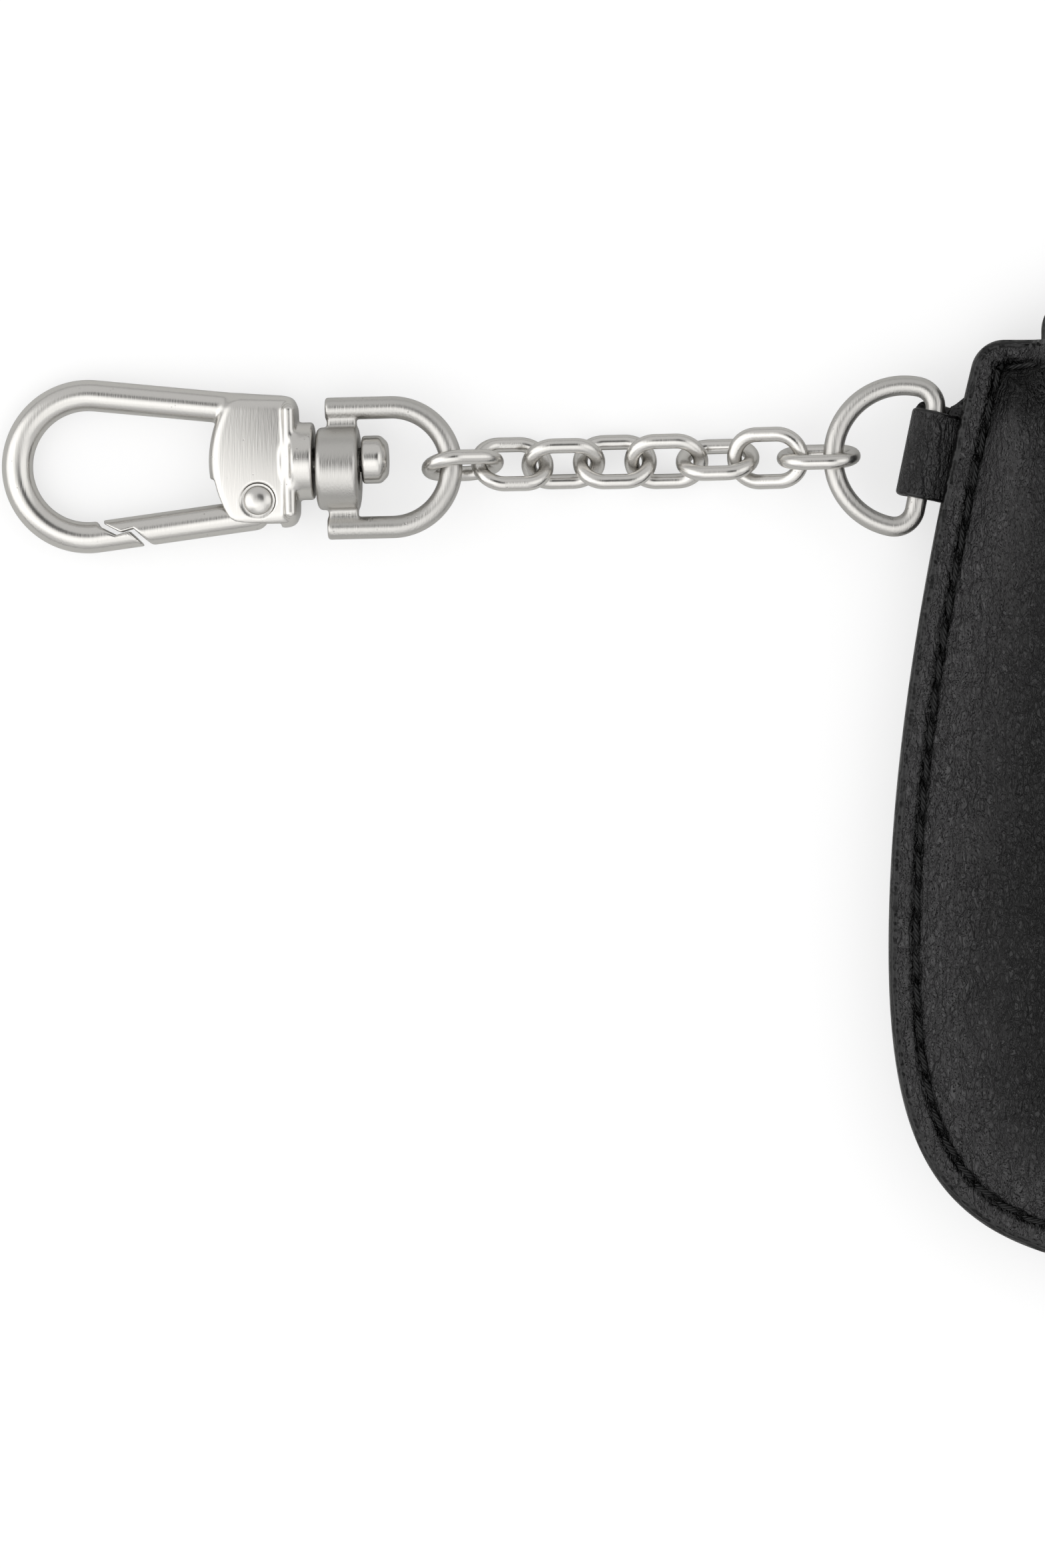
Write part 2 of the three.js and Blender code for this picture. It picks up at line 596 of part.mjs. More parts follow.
/** The D-ring's wire path: bar at x = 0, tip at x = -RING_DEPTH. */
function ringPath() {
  const corner = RING_CORNER;
  const straight = RING_HALF_HEIGHT - corner;
  const shape = new THREE.Shape();
  shape.moveTo(0, -straight);
  shape.lineTo(0, straight);
  shape.absarc(-corner, straight, corner, 0, Math.PI / 2);
  shape.absarc(-corner, 0, RING_HALF_HEIGHT, Math.PI / 2, 1.5 * Math.PI);
  shape.absarc(-corner, -straight, corner, 1.5 * Math.PI, 2 * Math.PI);
  return new PlanarLoop(shape);
}

function buildRing(tab) {
  const ring = addPiece('d_ring', wireRing(ringPath(), RING_WIRE, 44), satinNickel(), tab);
  ring.rotation.set(0, -RING_TILT, 0);
}

/** The middle of the D-ring's wire where the chain pulls on it, straight away from the wallet. */
function ringTip() {
  const tip = new THREE.Vector3(-Math.cos(TAB_LEAN), -Math.sin(TAB_LEAN), 0).multiplyScalar(RING_HALF_HEIGHT);
  tip.x -= RING_CORNER;
  tip.applyAxisAngle(new THREE.Vector3(0, 1, 0), -RING_TILT);
  tip.applyAxisAngle(new THREE.Vector3(0, 0, 1), -TAB_LEAN);
  return tip.add(new THREE.Vector3(RING_BAR_X, RING_BAR_Y, SEAM_HEIGHT));
}

const LINK_HALF = LINK_LENGTH / 2 - LINK_WIRE; // to the middle of the end wire

/** A link's wire path: two straight sides and two half circles. */
function linkPath() {
  const radius = LINK_WIDTH / 2 - LINK_WIRE;
  const side = LINK_HALF - radius;
  const shape = new THREE.Shape();
  shape.moveTo(-side, -radius);
  shape.lineTo(side, -radius);
  shape.absarc(side, 0, radius, -Math.PI / 2, Math.PI / 2);
  shape.lineTo(-side, radius);
  shape.absarc(-side, 0, radius, Math.PI / 2, 1.5 * Math.PI);
  return new PlanarLoop(shape);
}

/** Direction of travel along the chain, away from the wallet, at a slope down in radians. */
function chainDirection(slope) {
  const flat = Math.cos(slope);
  return new THREE.Vector3(
    -flat * Math.cos(CHAIN_HEADING), -flat * Math.sin(CHAIN_HEADING), -Math.sin(slope),
  );
}

/** Turns a group so that its +X points back along the chain and it is rolled about that line. */
function alignToChain(object, direction, roll) {
  const back = direction.clone().negate();
  const side = new THREE.Vector3(0, 0, 1).cross(back).normalize();
  const up = back.clone().cross(side);
  object.quaternion.setFromRotationMatrix(new THREE.Matrix4().makeBasis(back, side, up));
  object.rotateX(roll);
}

/** Hangs the links one from the next and returns the last end wire's middle and direction. */
function buildChain() {
  let hanger = ringTip();
  let hangerWire = RING_WIRE;
  let lastDirection = null;
  LINK_POSES.forEach(({ slope, roll }, i) => {
    const direction = chainDirection(THREE.MathUtils.degToRad(slope));
    const link = addPiece(`chain_link_${LINK_POSES.length - i}`, wireRing(linkPath(), LINK_WIRE, 24, 7), satinNickel());
    alignToChain(link, direction, THREE.MathUtils.degToRad(roll));
    link.position.copy(hanger).addScaledVector(direction, LINK_HALF - hangerWire - LINK_WIRE - CHAIN_GAP);
    hanger = link.position.clone().addScaledVector(direction, LINK_HALF);
    hangerWire = LINK_WIRE;
    lastDirection = direction;
  });
  return { wire: hanger, direction: lastDirection };
}

// --- Swivel and hook -----------------------------------------------------------------------

const HUB_BORE_RADIUS = SHANK_RADIUS + SWIVEL_PLAY + BORE_CLEARANCE;
const HUB_RADIUS = HUB_BORE_RADIUS + HUB_WALL;
const HEAD_RADIUS = HUB_BORE_RADIUS + HEAD_LIP;
const BAIL_HALF_HEIGHT = HUB_RADIUS + BAIL_ARM_GAP + BAIL_WIRE; // to the middle of the wire
const SLOT_HALF = HOOK_WIRE + GATE_GAP;
const BLOCK_HALF_DEPTH = SLOT_HALF + BLOCK_WALL;

/** The bail's wire path, from one arm's end round the tip to the other. */
function bailPath() {
  const bend = BAIL_TIP - BAIL_HALF_HEIGHT;
  const path = new THREE.CurvePath();
  const [low, high] = [-BAIL_HALF_HEIGHT, BAIL_HALF_HEIGHT].map((y) => new THREE.Vector3(BAIL_ARM_END, y, 0));
  const points = [];
  for (let i = 0; i <= 16; i += 1) {
    const angle = -Math.PI / 2 + (Math.PI * i) / 16;
    points.push(new THREE.Vector3(bend + BAIL_HALF_HEIGHT * Math.cos(angle), BAIL_HALF_HEIGHT * Math.sin(angle), 0));
  }
  path.add(new THREE.LineCurve3(low, points[0]));
  path.add(new THREE.CatmullRomCurve3(points));
  path.add(new THREE.LineCurve3(points[points.length - 1], high));
  return path;
}

/** The bail and the hub in one casting, with the loose bore for the shank. */
function buildBail(swivel) {
  const half = HUB_LENGTH / 2;
  const round = 0.5;
  const hub = turnedAboutX([
    [-half, 0], [-half, HUB_RADIUS - round], [-half + round, HUB_RADIUS],
    [half - round, HUB_RADIUS], [half, HUB_RADIUS - round], [half, 0],
  ]);
  const webTop = BAIL_HALF_HEIGHT;
  const web = (sign) => new THREE.BoxGeometry(BAIL_WEB_LENGTH, webTop - HUB_RADIUS + 1.2, 2 * BAIL_WIRE)
    .translate(BAIL_ARM_END + BAIL_WEB_LENGTH / 2, sign * (webTop + HUB_RADIUS - 1.2) / 2, 0);
  const bore = turnedAboutX([
    [-HUB_LENGTH, 0], [-HUB_LENGTH, HUB_BORE_RADIUS], [HUB_LENGTH, HUB_BORE_RADIUS], [HUB_LENGTH, 0],
  ]);
  const casting = joined(hub, web(1), web(-1), wireRod(bailPath(), BAIL_WIRE, 26, 8)).subtract(toSolid(bore));
  addPiece('swivel_bail', toGeometry(casting), satinNickel(), swivel);
}

/** A point on the lower or upper arm's centre line; sign is -1 for the arm with the gate. */
function armPoint(x, sign) {
  const startX = LOOP_RADIUS * Math.sin(ARM_LEAN);
  const startY = LOOP_RADIUS * Math.cos(ARM_LEAN);
  return new THREE.Vector3(x, sign * (startY - (x - LOOP_X - startX) * Math.tan(ARM_LEAN)), 0);
}

/** The hook's wire: upper arm, round the loop, to the lower arm's end at the given x. */
function loopPath(lowerEnd) {
  const first = Math.PI / 2 - ARM_LEAN;
  const last = 1.5 * Math.PI + ARM_LEAN;
  const points = [];
  for (let i = 0; i <= 20; i += 1) {
    const angle = THREE.MathUtils.lerp(first, last, i / 20);
    points.push(new THREE.Vector3(LOOP_X + LOOP_RADIUS * Math.cos(angle), LOOP_RADIUS * Math.sin(angle), 0));
  }
  const path = new THREE.CurvePath();
  path.add(new THREE.LineCurve3(armPoint(BLOCK_RIGHT - 2, 1), points[0]));
  path.add(new THREE.CatmullRomCurve3(points));
  path.add(new THREE.LineCurve3(points[points.length - 1], armPoint(lowerEnd, -1)));
  return path;
}

/** The lap between nose and gate, as the region right of the cut, moved right by a gap. */
function lapRegion(gap) {
  const y = (x) => armPoint(LOOP_X + x, -1).y;
  const at = (x, across) => [LOOP_X + x + gap, y(x) + across + gap * 0.6];
  const corners = [
    at(0.3, HOOK_WIRE + 1), at(1.1, HOOK_WIRE * 0.6), at(2.7, -0.1), at(4, 0.1), at(5.6, -HOOK_WIRE), at(6.6, -HOOK_WIRE - 1),
  ];
  const shape = new THREE.Shape();
  corners.forEach(([x, level], i) => (i ? shape.lineTo(x, level) : shape.moveTo(x, level)));
  shape.lineTo(BLOCK_RIGHT, -2 * LOOP_RADIUS);
  shape.lineTo(BLOCK_RIGHT, 0);
  return slab(shape, 6 * HOOK_WIRE);
}

/** The block that carries the arms and the gate, with its raised rim. */
function blockShape(left, right) {
  const top = BLOCK_HALF_HEIGHT;
  const corner = 1.2;
  const shape = new THREE.Shape();
  shape.moveTo(left + BLOCK_BULGE, -top);
  shape.lineTo(right - corner, -top + 0.4);
  shape.absarc(right - corner, -top + 0.4 + corner, corner, -Math.PI / 2, 0);
  shape.lineTo(right, top - 0.4 - corner);
  shape.absarc(right - corner, top - 0.4 - corner, corner, 0, Math.PI / 2);
  shape.lineTo(left + BLOCK_BULGE, top);
  shape.quadraticCurveTo(left - BLOCK_BULGE, 0, left + BLOCK_BULGE, -top);
  return shape;
}

/** The hook in one casting: loop, block, collar, shank and the head that keeps the hub on. */
function buildHook(hook) {
  const block = slab(blockShape(BLOCK_LEFT, BLOCK_RIGHT), 2 * BLOCK_HALF_DEPTH, 6, 0.5);
  const rimLeft = BLOCK_RIGHT - RIM_LENGTH;
  const rimHalf = BLOCK_HALF_DEPTH + RIM_EXTRA;
  const rimTop = BLOCK_HALF_HEIGHT - 1.2;
  const rim = blockBetween(
    new THREE.Vector3(rimLeft, -rimTop, -rimHalf), new THREE.Vector3(BLOCK_RIGHT - 0.3, rimTop, rimHalf),
  );
  const hubFace = -HUB_LENGTH / 2 - CLEARANCE;
  const collarStart = hubFace - COLLAR_LENGTH;
  const headStart = HUB_LENGTH / 2 + CLEARANCE;
  const stem = turnedAboutX([
    [BLOCK_RIGHT - 1.5, 0], [BLOCK_RIGHT - 1.5, COLLAR_RADIUS - 0.9], [collarStart + 1, COLLAR_RADIUS - 0.9],
    [collarStart + 1.3, COLLAR_RADIUS], [hubFace - 0.3, COLLAR_RADIUS], [hubFace, COLLAR_RADIUS - 0.3],
    [hubFace, SHANK_RADIUS], [headStart, SHANK_RADIUS], [headStart, HEAD_RADIUS - 0.25],
    [headStart + 0.3, HEAD_RADIUS], [headStart + HEAD_LENGTH - 0.7, HEAD_RADIUS],
    [headStart + HEAD_LENGTH, HEAD_RADIUS - 0.9], [headStart + HEAD_LENGTH, 0],
  ]);
  const loop = toSolid(wireRod(loopPath(LOOP_X + 8), HOOK_WIRE, 36, 8)).subtract(toSolid(lapRegion(0)));
  const slot = blockBetween(
    new THREE.Vector3(LOOP_X + 9, -BLOCK_HALF_HEIGHT - 2, -SLOT_HALF),
    new THREE.Vector3(PIVOT_X + GATE_EYE_RADIUS + GATE_GAP, PIVOT_Y + GATE_EYE_RADIUS + GATE_GAP, SLOT_HALF),
  );
  const pin = (radius, length) => new THREE.CylinderGeometry(radius, radius, length, ROUND_SIDES)
    .rotateX(Math.PI / 2);
  const recess = (sign) => pin(RIVET_HEAD_RADIUS + CLEARANCE, 2 * RIVET_RECESS)
    .translate(PIVOT_X, PIVOT_Y, sign * BLOCK_HALF_DEPTH);
  const casting = joined(block, rim, stem).subtract(toSolid(slot)).add(loop)
    .subtract(toSolid(pin(PIVOT_RADIUS + CLEARANCE / 2, 20).translate(PIVOT_X, PIVOT_Y, 0)))
    .subtract(toSolid(recess(1)))
    .subtract(toSolid(recess(-1)));
  addPiece('snap_hook', toGeometry(casting), satinNickel(), hook);
}

/** The sprung gate: a straight arm that laps the nose, and the eye that turns on the rivet. */
function buildGate(hook) {
  const armEnd = PIVOT_X - 0.6;
  const path = new THREE.LineCurve3(armPoint(LOOP_X - 1, -1), armPoint(armEnd, -1));
  const eyeHalf = HOOK_WIRE / 2;
  const eye = new THREE.CylinderGeometry(GATE_EYE_RADIUS, GATE_EYE_RADIUS, 2 * eyeHalf, ROUND_SIDES)
    .rotateX(Math.PI / 2).translate(PIVOT_X, PIVOT_Y, -HOOK_WIRE + eyeHalf);
  const room = new THREE.CylinderGeometry(GATE_EYE_RADIUS + 0.2, GATE_EYE_RADIUS + 0.2, 2 * HOOK_WIRE, ROUND_SIDES)
    .rotateX(Math.PI / 2).translate(PIVOT_X, PIVOT_Y, HOOK_WIRE);
  const hole = new THREE.CylinderGeometry(PIVOT_RADIUS + CLEARANCE / 2, PIVOT_RADIUS + CLEARANCE / 2, 20, ROUND_SIDES)
    .rotateX(Math.PI / 2).translate(PIVOT_X, PIVOT_Y, 0);
  const arm = toSolid(wireRod(path, HOOK_WIRE, 1, 8)).intersect(toSolid(lapRegion(GATE_GAP)));
  const gate = arm.subtract(toSolid(room)).add(toSolid(eye)).subtract(toSolid(hole));
  addPiece('hook_gate', toGeometry(gate), satinNickel(), hook);
}

/** The rivet that the gate turns on, with a low dome at each end. */
function buildRivet(hook) {
  const seat = BLOCK_HALF_DEPTH - RIVET_RECESS + 0.15;
  const top = BLOCK_HALF_DEPTH + 0.15;
  const profile = [
    [-top, 0], [-top, 0.8], [-top + 0.2, 1.2], [-seat - 0.05, RIVET_HEAD_RADIUS], [-seat, RIVET_HEAD_RADIUS - 0.05],
    [-seat, PIVOT_RADIUS], [seat, PIVOT_RADIUS], [seat, RIVET_HEAD_RADIUS - 0.05],
    [seat + 0.05, RIVET_HEAD_RADIUS], [top - 0.2, 1.2], [top, 0.8], [top, 0],
  ];
  const rivet = turnedAboutX(profile).rotateY(-Math.PI / 2).translate(PIVOT_X, PIVOT_Y, 0);
  addPiece('gate_rivet', rivet, satinNickel(), hook);
}

/** A small torsion spring: three turns round the rivet beside the gate's eye. */
function buildGateSpring(hook) {
  const wire = 0.18;
  const radius = PIVOT_RADIUS + 0.2 + wire;
  const turns = 2.5;
  const low = 0.3 + wire;
  const high = SLOT_HALF - 0.15 - wire;
  const points = [];
  for (let i = 0; i <= 30; i += 1) {
    const angle = (2 * Math.PI * turns * i) / 30;
    const z = THREE.MathUtils.lerp(low, high, i / 30);
    points.push(new THREE.Vector3(PIVOT_X + radius * Math.cos(angle), PIVOT_Y + radius * Math.sin(angle), z));
  }
  const coil = wireRod(new THREE.CatmullRomCurve3(points), wire, 24, 4);
  addPiece('gate_spring', coil, springSteel(), hook);
}

/** Places the swivel on the chain's last link and builds the hook on it. */
function buildSwivel(chainEnd) {
  const direction = chainDirection(SWIVEL_TILT);
  const swivel = new THREE.Group();
  alignToChain(swivel, direction, 0);
  const inside = LINK_WIRE + BAIL_WIRE + CHAIN_GAP;
  swivel.position.copy(chainEnd.wire).addScaledVector(chainEnd.direction, -inside);
  swivel.position.addScaledVector(direction, BAIL_TIP);
  group.add(swivel);
  buildBail(swivel);
  const hook = new THREE.Group();
  hook.position.set(0, SWIVEL_PLAY, 0);
  swivel.add(hook);
  buildHook(hook);
  buildGate(hook);
  buildRivet(hook);
  buildGateSpring(hook);
}

buildPanels();
buildLinings();
buildPocket();
buildThreads();
buildZipTrack();
buildSlider();
buildPull();
const tab = tabGroup();
buildSideTab(tab);
buildRing(tab);
buildSwivel(buildChain());

export default group;
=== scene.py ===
"""Looks of a chain wallet: a puffed black leather pouch with a zip, a side tab with a D-ring,
a short cable chain and a swivel snap hook in satin nickel.

Shapes are worked out in millimetres with numpy and written to the meshes in metres."""
from __future__ import annotations

import json
import logging
import math
from collections.abc import Callable, Sequence
from dataclasses import dataclass, field
from enum import Enum

import bpy
import numpy as np
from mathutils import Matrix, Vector


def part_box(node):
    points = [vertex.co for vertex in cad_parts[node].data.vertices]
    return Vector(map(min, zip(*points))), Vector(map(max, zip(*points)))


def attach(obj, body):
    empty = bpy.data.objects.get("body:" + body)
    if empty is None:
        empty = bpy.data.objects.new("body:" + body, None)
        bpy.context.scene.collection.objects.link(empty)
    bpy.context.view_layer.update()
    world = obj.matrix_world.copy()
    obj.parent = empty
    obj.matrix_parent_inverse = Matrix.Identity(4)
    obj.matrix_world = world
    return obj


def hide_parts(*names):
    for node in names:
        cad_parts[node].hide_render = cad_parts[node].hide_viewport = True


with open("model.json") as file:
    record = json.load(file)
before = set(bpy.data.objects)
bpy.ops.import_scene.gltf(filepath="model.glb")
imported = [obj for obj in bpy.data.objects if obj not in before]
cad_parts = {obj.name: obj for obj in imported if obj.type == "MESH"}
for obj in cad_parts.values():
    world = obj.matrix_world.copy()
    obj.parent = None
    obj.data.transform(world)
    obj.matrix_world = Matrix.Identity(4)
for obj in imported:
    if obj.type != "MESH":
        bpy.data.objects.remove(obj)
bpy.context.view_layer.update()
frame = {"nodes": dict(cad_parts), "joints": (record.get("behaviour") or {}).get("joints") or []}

LOG = logging.getLogger("chain_wallet")
MM = 0.001
Array = np.ndarray
Field = Callable[[Array], Array]


# --- Numbers and curves -------------------------------------------------------------------


def smoothstep(value: Array, low: float, high: float) -> Array:
    """Smooth rise from 0 at low to 1 at high: 3t^2 - 2t^3 of the clamped share t."""
    t = np.clip((value - low) / (high - low), 0.0, 1.0)
    return t * t * (3.0 - 2.0 * t)


def bump_at(value: Array, centre: float, width: float) -> Array:
    """A bell of height 1 at centre: e to the minus of the squared share of width."""
    return np.exp(-(((value - centre) / width) ** 2))


def unit(vectors: Array) -> Array:
    """Vectors over their own lengths, along the last axis."""
    return vectors / np.maximum(np.linalg.norm(vectors, axis=-1, keepdims=True), 1e-12)


def soft_noise(x: Array, y: Array, seed: int) -> Array:
    """Smooth value noise from -1 to 1: seeded lattice values blended by a smooth step.

    Args:
        x: First coordinate, one lattice cell per unit.
        y: Second coordinate.
        seed: Picks the lattice.

    Returns:
        One value for each point.
    """
    size = 128
    table = np.random.default_rng(seed).uniform(-1.0, 1.0, (size, size))
    column, row = np.floor(x).astype(int), np.floor(y).astype(int)
    u, v = smoothstep(x - column, 0, 1), smoothstep(y - row, 0, 1)
    near, far = column % size, (column + 1) % size
    low, high = row % size, (row + 1) % size
    below = table[near, low] * (1 - u) + table[far, low] * u
    above = table[near, high] * (1 - u) + table[far, high] * u
    return below * (1 - v) + above * v


def resampled(points: Array, count: int, closed: bool) -> Array:
    """Points spaced evenly by length along a polyline.

    Args:
        points: The polyline, one row for each point.
        count: Points wanted.
        closed: True for a loop, which then doesn't repeat its first point.

    Returns:
        An array of count rows.
    """
    line = np.vstack([points, points[:1]]) if closed else points
    run = np.concatenate([[0.0], np.cumsum(np.linalg.norm(np.diff(line, axis=0), axis=1))])
    wanted = np.linspace(0.0, run[-1], count, endpoint=not closed)
    return np.stack([np.interp(wanted, run, line[:, k]) for k in range(line.shape[1])], axis=1)


def arc(centre: Sequence[float], radius: float, start: float, end: float, count: int) -> Array:
    """Points of a circular arc in the plane, from start to end in degrees."""
    angle = np.radians(np.linspace(start, end, count))
    return np.stack([centre[0] + radius * np.cos(angle), centre[1] + radius * np.sin(angle)], axis=1)


def bezier(*handles: Sequence[float], count: int = 60) -> Array:
    """Points of a Bezier curve: the sum of handles weighted by Bernstein's polynomials."""
    t = np.linspace(0.0, 1.0, count)[:, None]
    degree = len(handles) - 1
    return sum(
        math.comb(degree, i) * (1 - t) ** (degree - i) * t**i * np.array(handle, float)
        for i, handle in enumerate(handles)
    )


def in_space(points: Array) -> Array:
    """Plane points as points of space, at height 0."""
    return np.concatenate([points, np.zeros((len(points), 1))], axis=1)


@dataclass(frozen=True)
class Axes:
    """A right-handed set of axes at an origin, in millimetres in the wallet's frame."""

    origin: Array
    x: Array
    y: Array
    z: Array

    @classmethod
    def from_two(cls, origin: Sequence[float], x: Sequence[float], z: Sequence[float]) -> Axes:
        """Axes with the given x, and with z as near to the given one as it can be."""
        ex = unit(np.array(x, float))
        ez = np.array(z, float)
        ez = unit(ez - ex * (ez @ ex))
        return cls(np.array(origin, float), ex, np.cross(ez, ex), ez)

    def out(self, points: Array) -> Array:
        """Points given in these axes, in the wallet's frame."""
        return self.origin + points @ np.stack([self.x, self.y, self.z])

    def moved(self, x: float, y: float, z: float) -> Axes:
        """The same axes with the origin moved along them."""
        return Axes(self.out(np.array([x, y, z])), self.x, self.y, self.z)


def joint_place(name: str) -> tuple[Array, Array]:
    """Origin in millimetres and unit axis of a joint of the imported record."""
    joint = next(j for j in frame["joints"] if j["name"] == name)
    return np.array(joint["pos_m"]) / MM, unit(np.array(joint["axis"], float))


def node_box(name: str) -> tuple[Array, Array]:
    """Lowest and highest corner of a CAD node, in millimetres."""
    low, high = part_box(name)
    return np.array(low) / MM, np.array(high) / MM


def node_points(name: str) -> Array:
    """The different corner points of a CAD node, in millimetres."""
    data = frame["nodes"][name].data
    flat = np.zeros(len(data.vertices) * 3, np.float32)
    data.vertices.foreach_get("co", flat)
    return np.unique(np.round(flat.reshape(-1, 3) / MM, 3), axis=0).astype(float)


# --- Meshes -------------------------------------------------------------------------------


@dataclass
class Skin:
    """Vertices in millimetres with quads and triangles, and what the finish needs of them."""

    points: Array
    quads: Array
    triangles: Array = field(default_factory=lambda: np.zeros((0, 3), int))
    quad_finish: Array | None = None
    uv: Array | None = None
    # Painted shade (above 0) and painted highlight (below 0) for each point.
    painted_shade_and_highlight: Array | None = None

    def corners(self) -> Array:
        """All faces as triangles."""
        halves = [self.quads[:, [0, 1, 2]], self.quads[:, [0, 2, 3]], self.triangles]
        return np.concatenate([h.reshape(-1, 3) for h in halves])

    def outward(self) -> Skin:
        """The same skin with its faces turned out: a closed skin's signed volume is positive."""
        a, b, c = (self.points[self.corners()[:, k]] for k in range(3))
        if np.einsum("ij,ij->i", a, np.cross(b, c)).sum() < 0:
            self.quads = self.quads[:, ::-1]
            self.triangles = self.triangles[:, ::-1]
        return self


def grid_quads(rows: int, columns: int, wrap_rows: bool, wrap_columns: bool) -> Array:
    """Quads between neighbouring points of a grid, going round where it wraps."""
    i = np.arange(rows if wrap_rows else rows - 1)
    j = np.arange(columns if wrap_columns else columns - 1)
    i, j = (part.ravel() for part in np.meshgrid(i, j, indexing="ij"))
    right, down = (j + 1) % columns, (i + 1) % rows
    return np.stack([i * columns + j, down * columns + j, down * columns + right, i * columns + right], 1)


def joined(skins: Sequence[Skin]) -> Skin:
    """Several skins as one, with their faces renumbered."""
    starts = np.cumsum([0] + [len(s.points) for s in skins[:-1]])
    return Skin(
        np.concatenate([s.points for s in skins]),
        np.concatenate([s.quads + n for s, n in zip(skins, starts)]),
        np.concatenate([s.triangles + n for s, n in zip(skins, starts)]),
    )


def with_poles(grid: Array) -> Skin:
    """A grid whose columns wrap, with its first and last row closed by a fan to their middles."""
    rows, columns = grid.shape[:2]
    points = np.concatenate([grid.reshape(-1, 3), grid[:1].mean(1), grid[-1:].mean(1)])
    j = np.arange(columns)
    right = (j + 1) % columns
    last = (rows - 1) * columns
    first_fan = np.stack([np.full(columns, rows * columns), j, right], 1)
    last_fan = np.stack([np.full(columns, rows * columns + 1), last + right, last + j], 1)
    return Skin(points, grid_quads(rows, columns, False, True), np.concatenate([first_fan, last_fan]))


def swept(path: Array, radius: float | Array, sides: int, closed: bool, up: Sequence[float],
          flat: float = 1.0) -> Skin:
    """A round section carried along a path.

    Each ring is centre + radius (cos a side + sin a rise), where side is square to the path and
    to up, and rise is square to both. Open ends are closed by half a sphere.

    Args:
        path: The centre line, one row for each ring.
        radius: One radius, or one for each point of the path.
        sides: Points round the section.
        closed: True where the path is a loop.
        up: A direction that the path never runs along.
        flat: The section's height over its width.

    Returns:
        The closed skin.
    """
    radii = np.broadcast_to(np.asarray(radius, float), (len(path),))
    along = np.roll(path, -1, 0) - np.roll(path, 1, 0) if closed else np.gradient(path, axis=0)
    along = unit(along)
    if not closed:
        lift = np.radians(np.array([80.0, 60.0, 38.0, 18.0]))
        back, shrink = np.sin(lift)[:, None], np.cos(lift)
        start = path[0] - along[0] * radii[0] * back
        end = path[-1] + along[-1] * radii[-1] * back[::-1]
        path = np.concatenate([start, path, end])
        along = np.concatenate([np.repeat(along[:1], 4, 0), along, np.repeat(along[-1:], 4, 0)])
        radii = np.concatenate([radii[0] * shrink, radii, radii[-1] * shrink[::-1]])
    side = unit(np.cross(along, np.array(up, float)))
    rise = np.cross(side, along)
    angle = np.linspace(0, 2 * np.pi, sides, endpoint=False)
    ring = np.cos(angle)[None, :, None] * side[:, None] + flat * np.sin(angle)[None, :, None] * rise[:, None]
    grid = path[:, None] + radii[:, None, None] * ring
    if closed:
        return Skin(grid.reshape(-1, 3), grid_quads(len(path), sides, True, True)).outward()
    return with_poles(grid).outward()


def turned(profile: Array, place: Axes, sides: int = 48) -> Skin:
    """A profile of (height, radius) rows turned about the z axis of a place."""
    angle = np.linspace(0, 2 * np.pi, sides, endpoint=False)
    height, radius = profile[:, :1], profile[:, 1:2]
    grid = np.stack([radius * np.cos(angle), radius * np.sin(angle), height + 0 * angle], -1)
    skin = with_poles(grid)
    skin.points = place.out(skin.points)
    return skin.outward()


@dataclass(frozen=True)
class Coat:
    """What covers a piece: the record's material slot and the materials for it."""

    slot: str
    materials: tuple[bpy.types.Material, ...]


class Workshop:
    """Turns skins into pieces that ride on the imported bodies."""

    @staticmethod
    def piece(name: str, skin: Skin, body: str, coat: Coat, *replaces: str) -> bpy.types.Object:
        """Makes one finished piece.

        Args:
            name: The piece's name.
            skin: Its surface in millimetres.
            body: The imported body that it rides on.
            coat: Its slot and materials; quad_finish picks among them.
            replaces: CAD nodes that it stands for.

        Returns:
            The new object, at the origin, with its place in its mesh.
        """
        mesh = bpy.data.meshes.new(name)
        faces = skin.quads.tolist() + skin.triangles.tolist()
        mesh.from_pydata((skin.points * MM).tolist(), [], faces)
        mesh.polygons.foreach_set("use_smooth", np.ones(len(faces), bool))
        if skin.quad_finish is not None:
            index = np.concatenate([skin.quad_finish, np.zeros(len(skin.triangles), int)])
            mesh.polygons.foreach_set("material_index", index.astype(np.int32))
        if skin.uv is not None:
            layer = mesh.uv_layers.new(name="UVMap")
            corner = np.zeros(len(mesh.loops), np.int32)
            mesh.loops.foreach_get("vertex_index", corner)
            layer.data.foreach_set("uv", skin.uv[corner].astype(np.float32).ravel())
        # The painted shade and highlight go to the mesh as a point attribute.
        if skin.painted_shade_and_highlight is not None:
            attribute = mesh.attributes.new("painted_shade_and_highlight", "FLOAT", "POINT")
            attribute.data.foreach_set("value", skin.painted_shade_and_highlight.astype(np.float32))
        for material in coat.materials:
            mesh.materials.append(material)
        mesh.update()
        made = bpy.data.objects.new(name, mesh)
        bpy.context.scene.collection.objects.link(made)
        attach(made, body)
        if replaces:
            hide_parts(*replaces)
        LOG.info("%s: %d faces on %s", name, len(faces), body)
        return made


# --- Castings as distance fields ----------------------------------------------------------


def blend_min(a: Array, b: Array, width: float) -> Array:
    """The smaller of two distances, with a fillet: less width h^2 / 4, h the share of nearness."""
    h = np.maximum(width - np.abs(a - b), 0.0) / width
    return np.minimum(a, b) - h * h * width * 0.25


def blend_max(a: Array, b: Array, width: float) -> Array:
    """The larger of two distances, with a rounded edge."""
    return -blend_min(-a, -b, width)


def to_segment(p: Array, start: Sequence[float], end: Sequence[float]) -> Array:
    """Distance to a straight line between two points."""
    a = np.array(start, p.dtype)
    run = np.array(end, p.dtype) - a
    share = np.clip(((p - a) @ run) / (run @ run), 0.0, 1.0)
    return np.linalg.norm(p - a - share[..., None] * run, axis=-1)


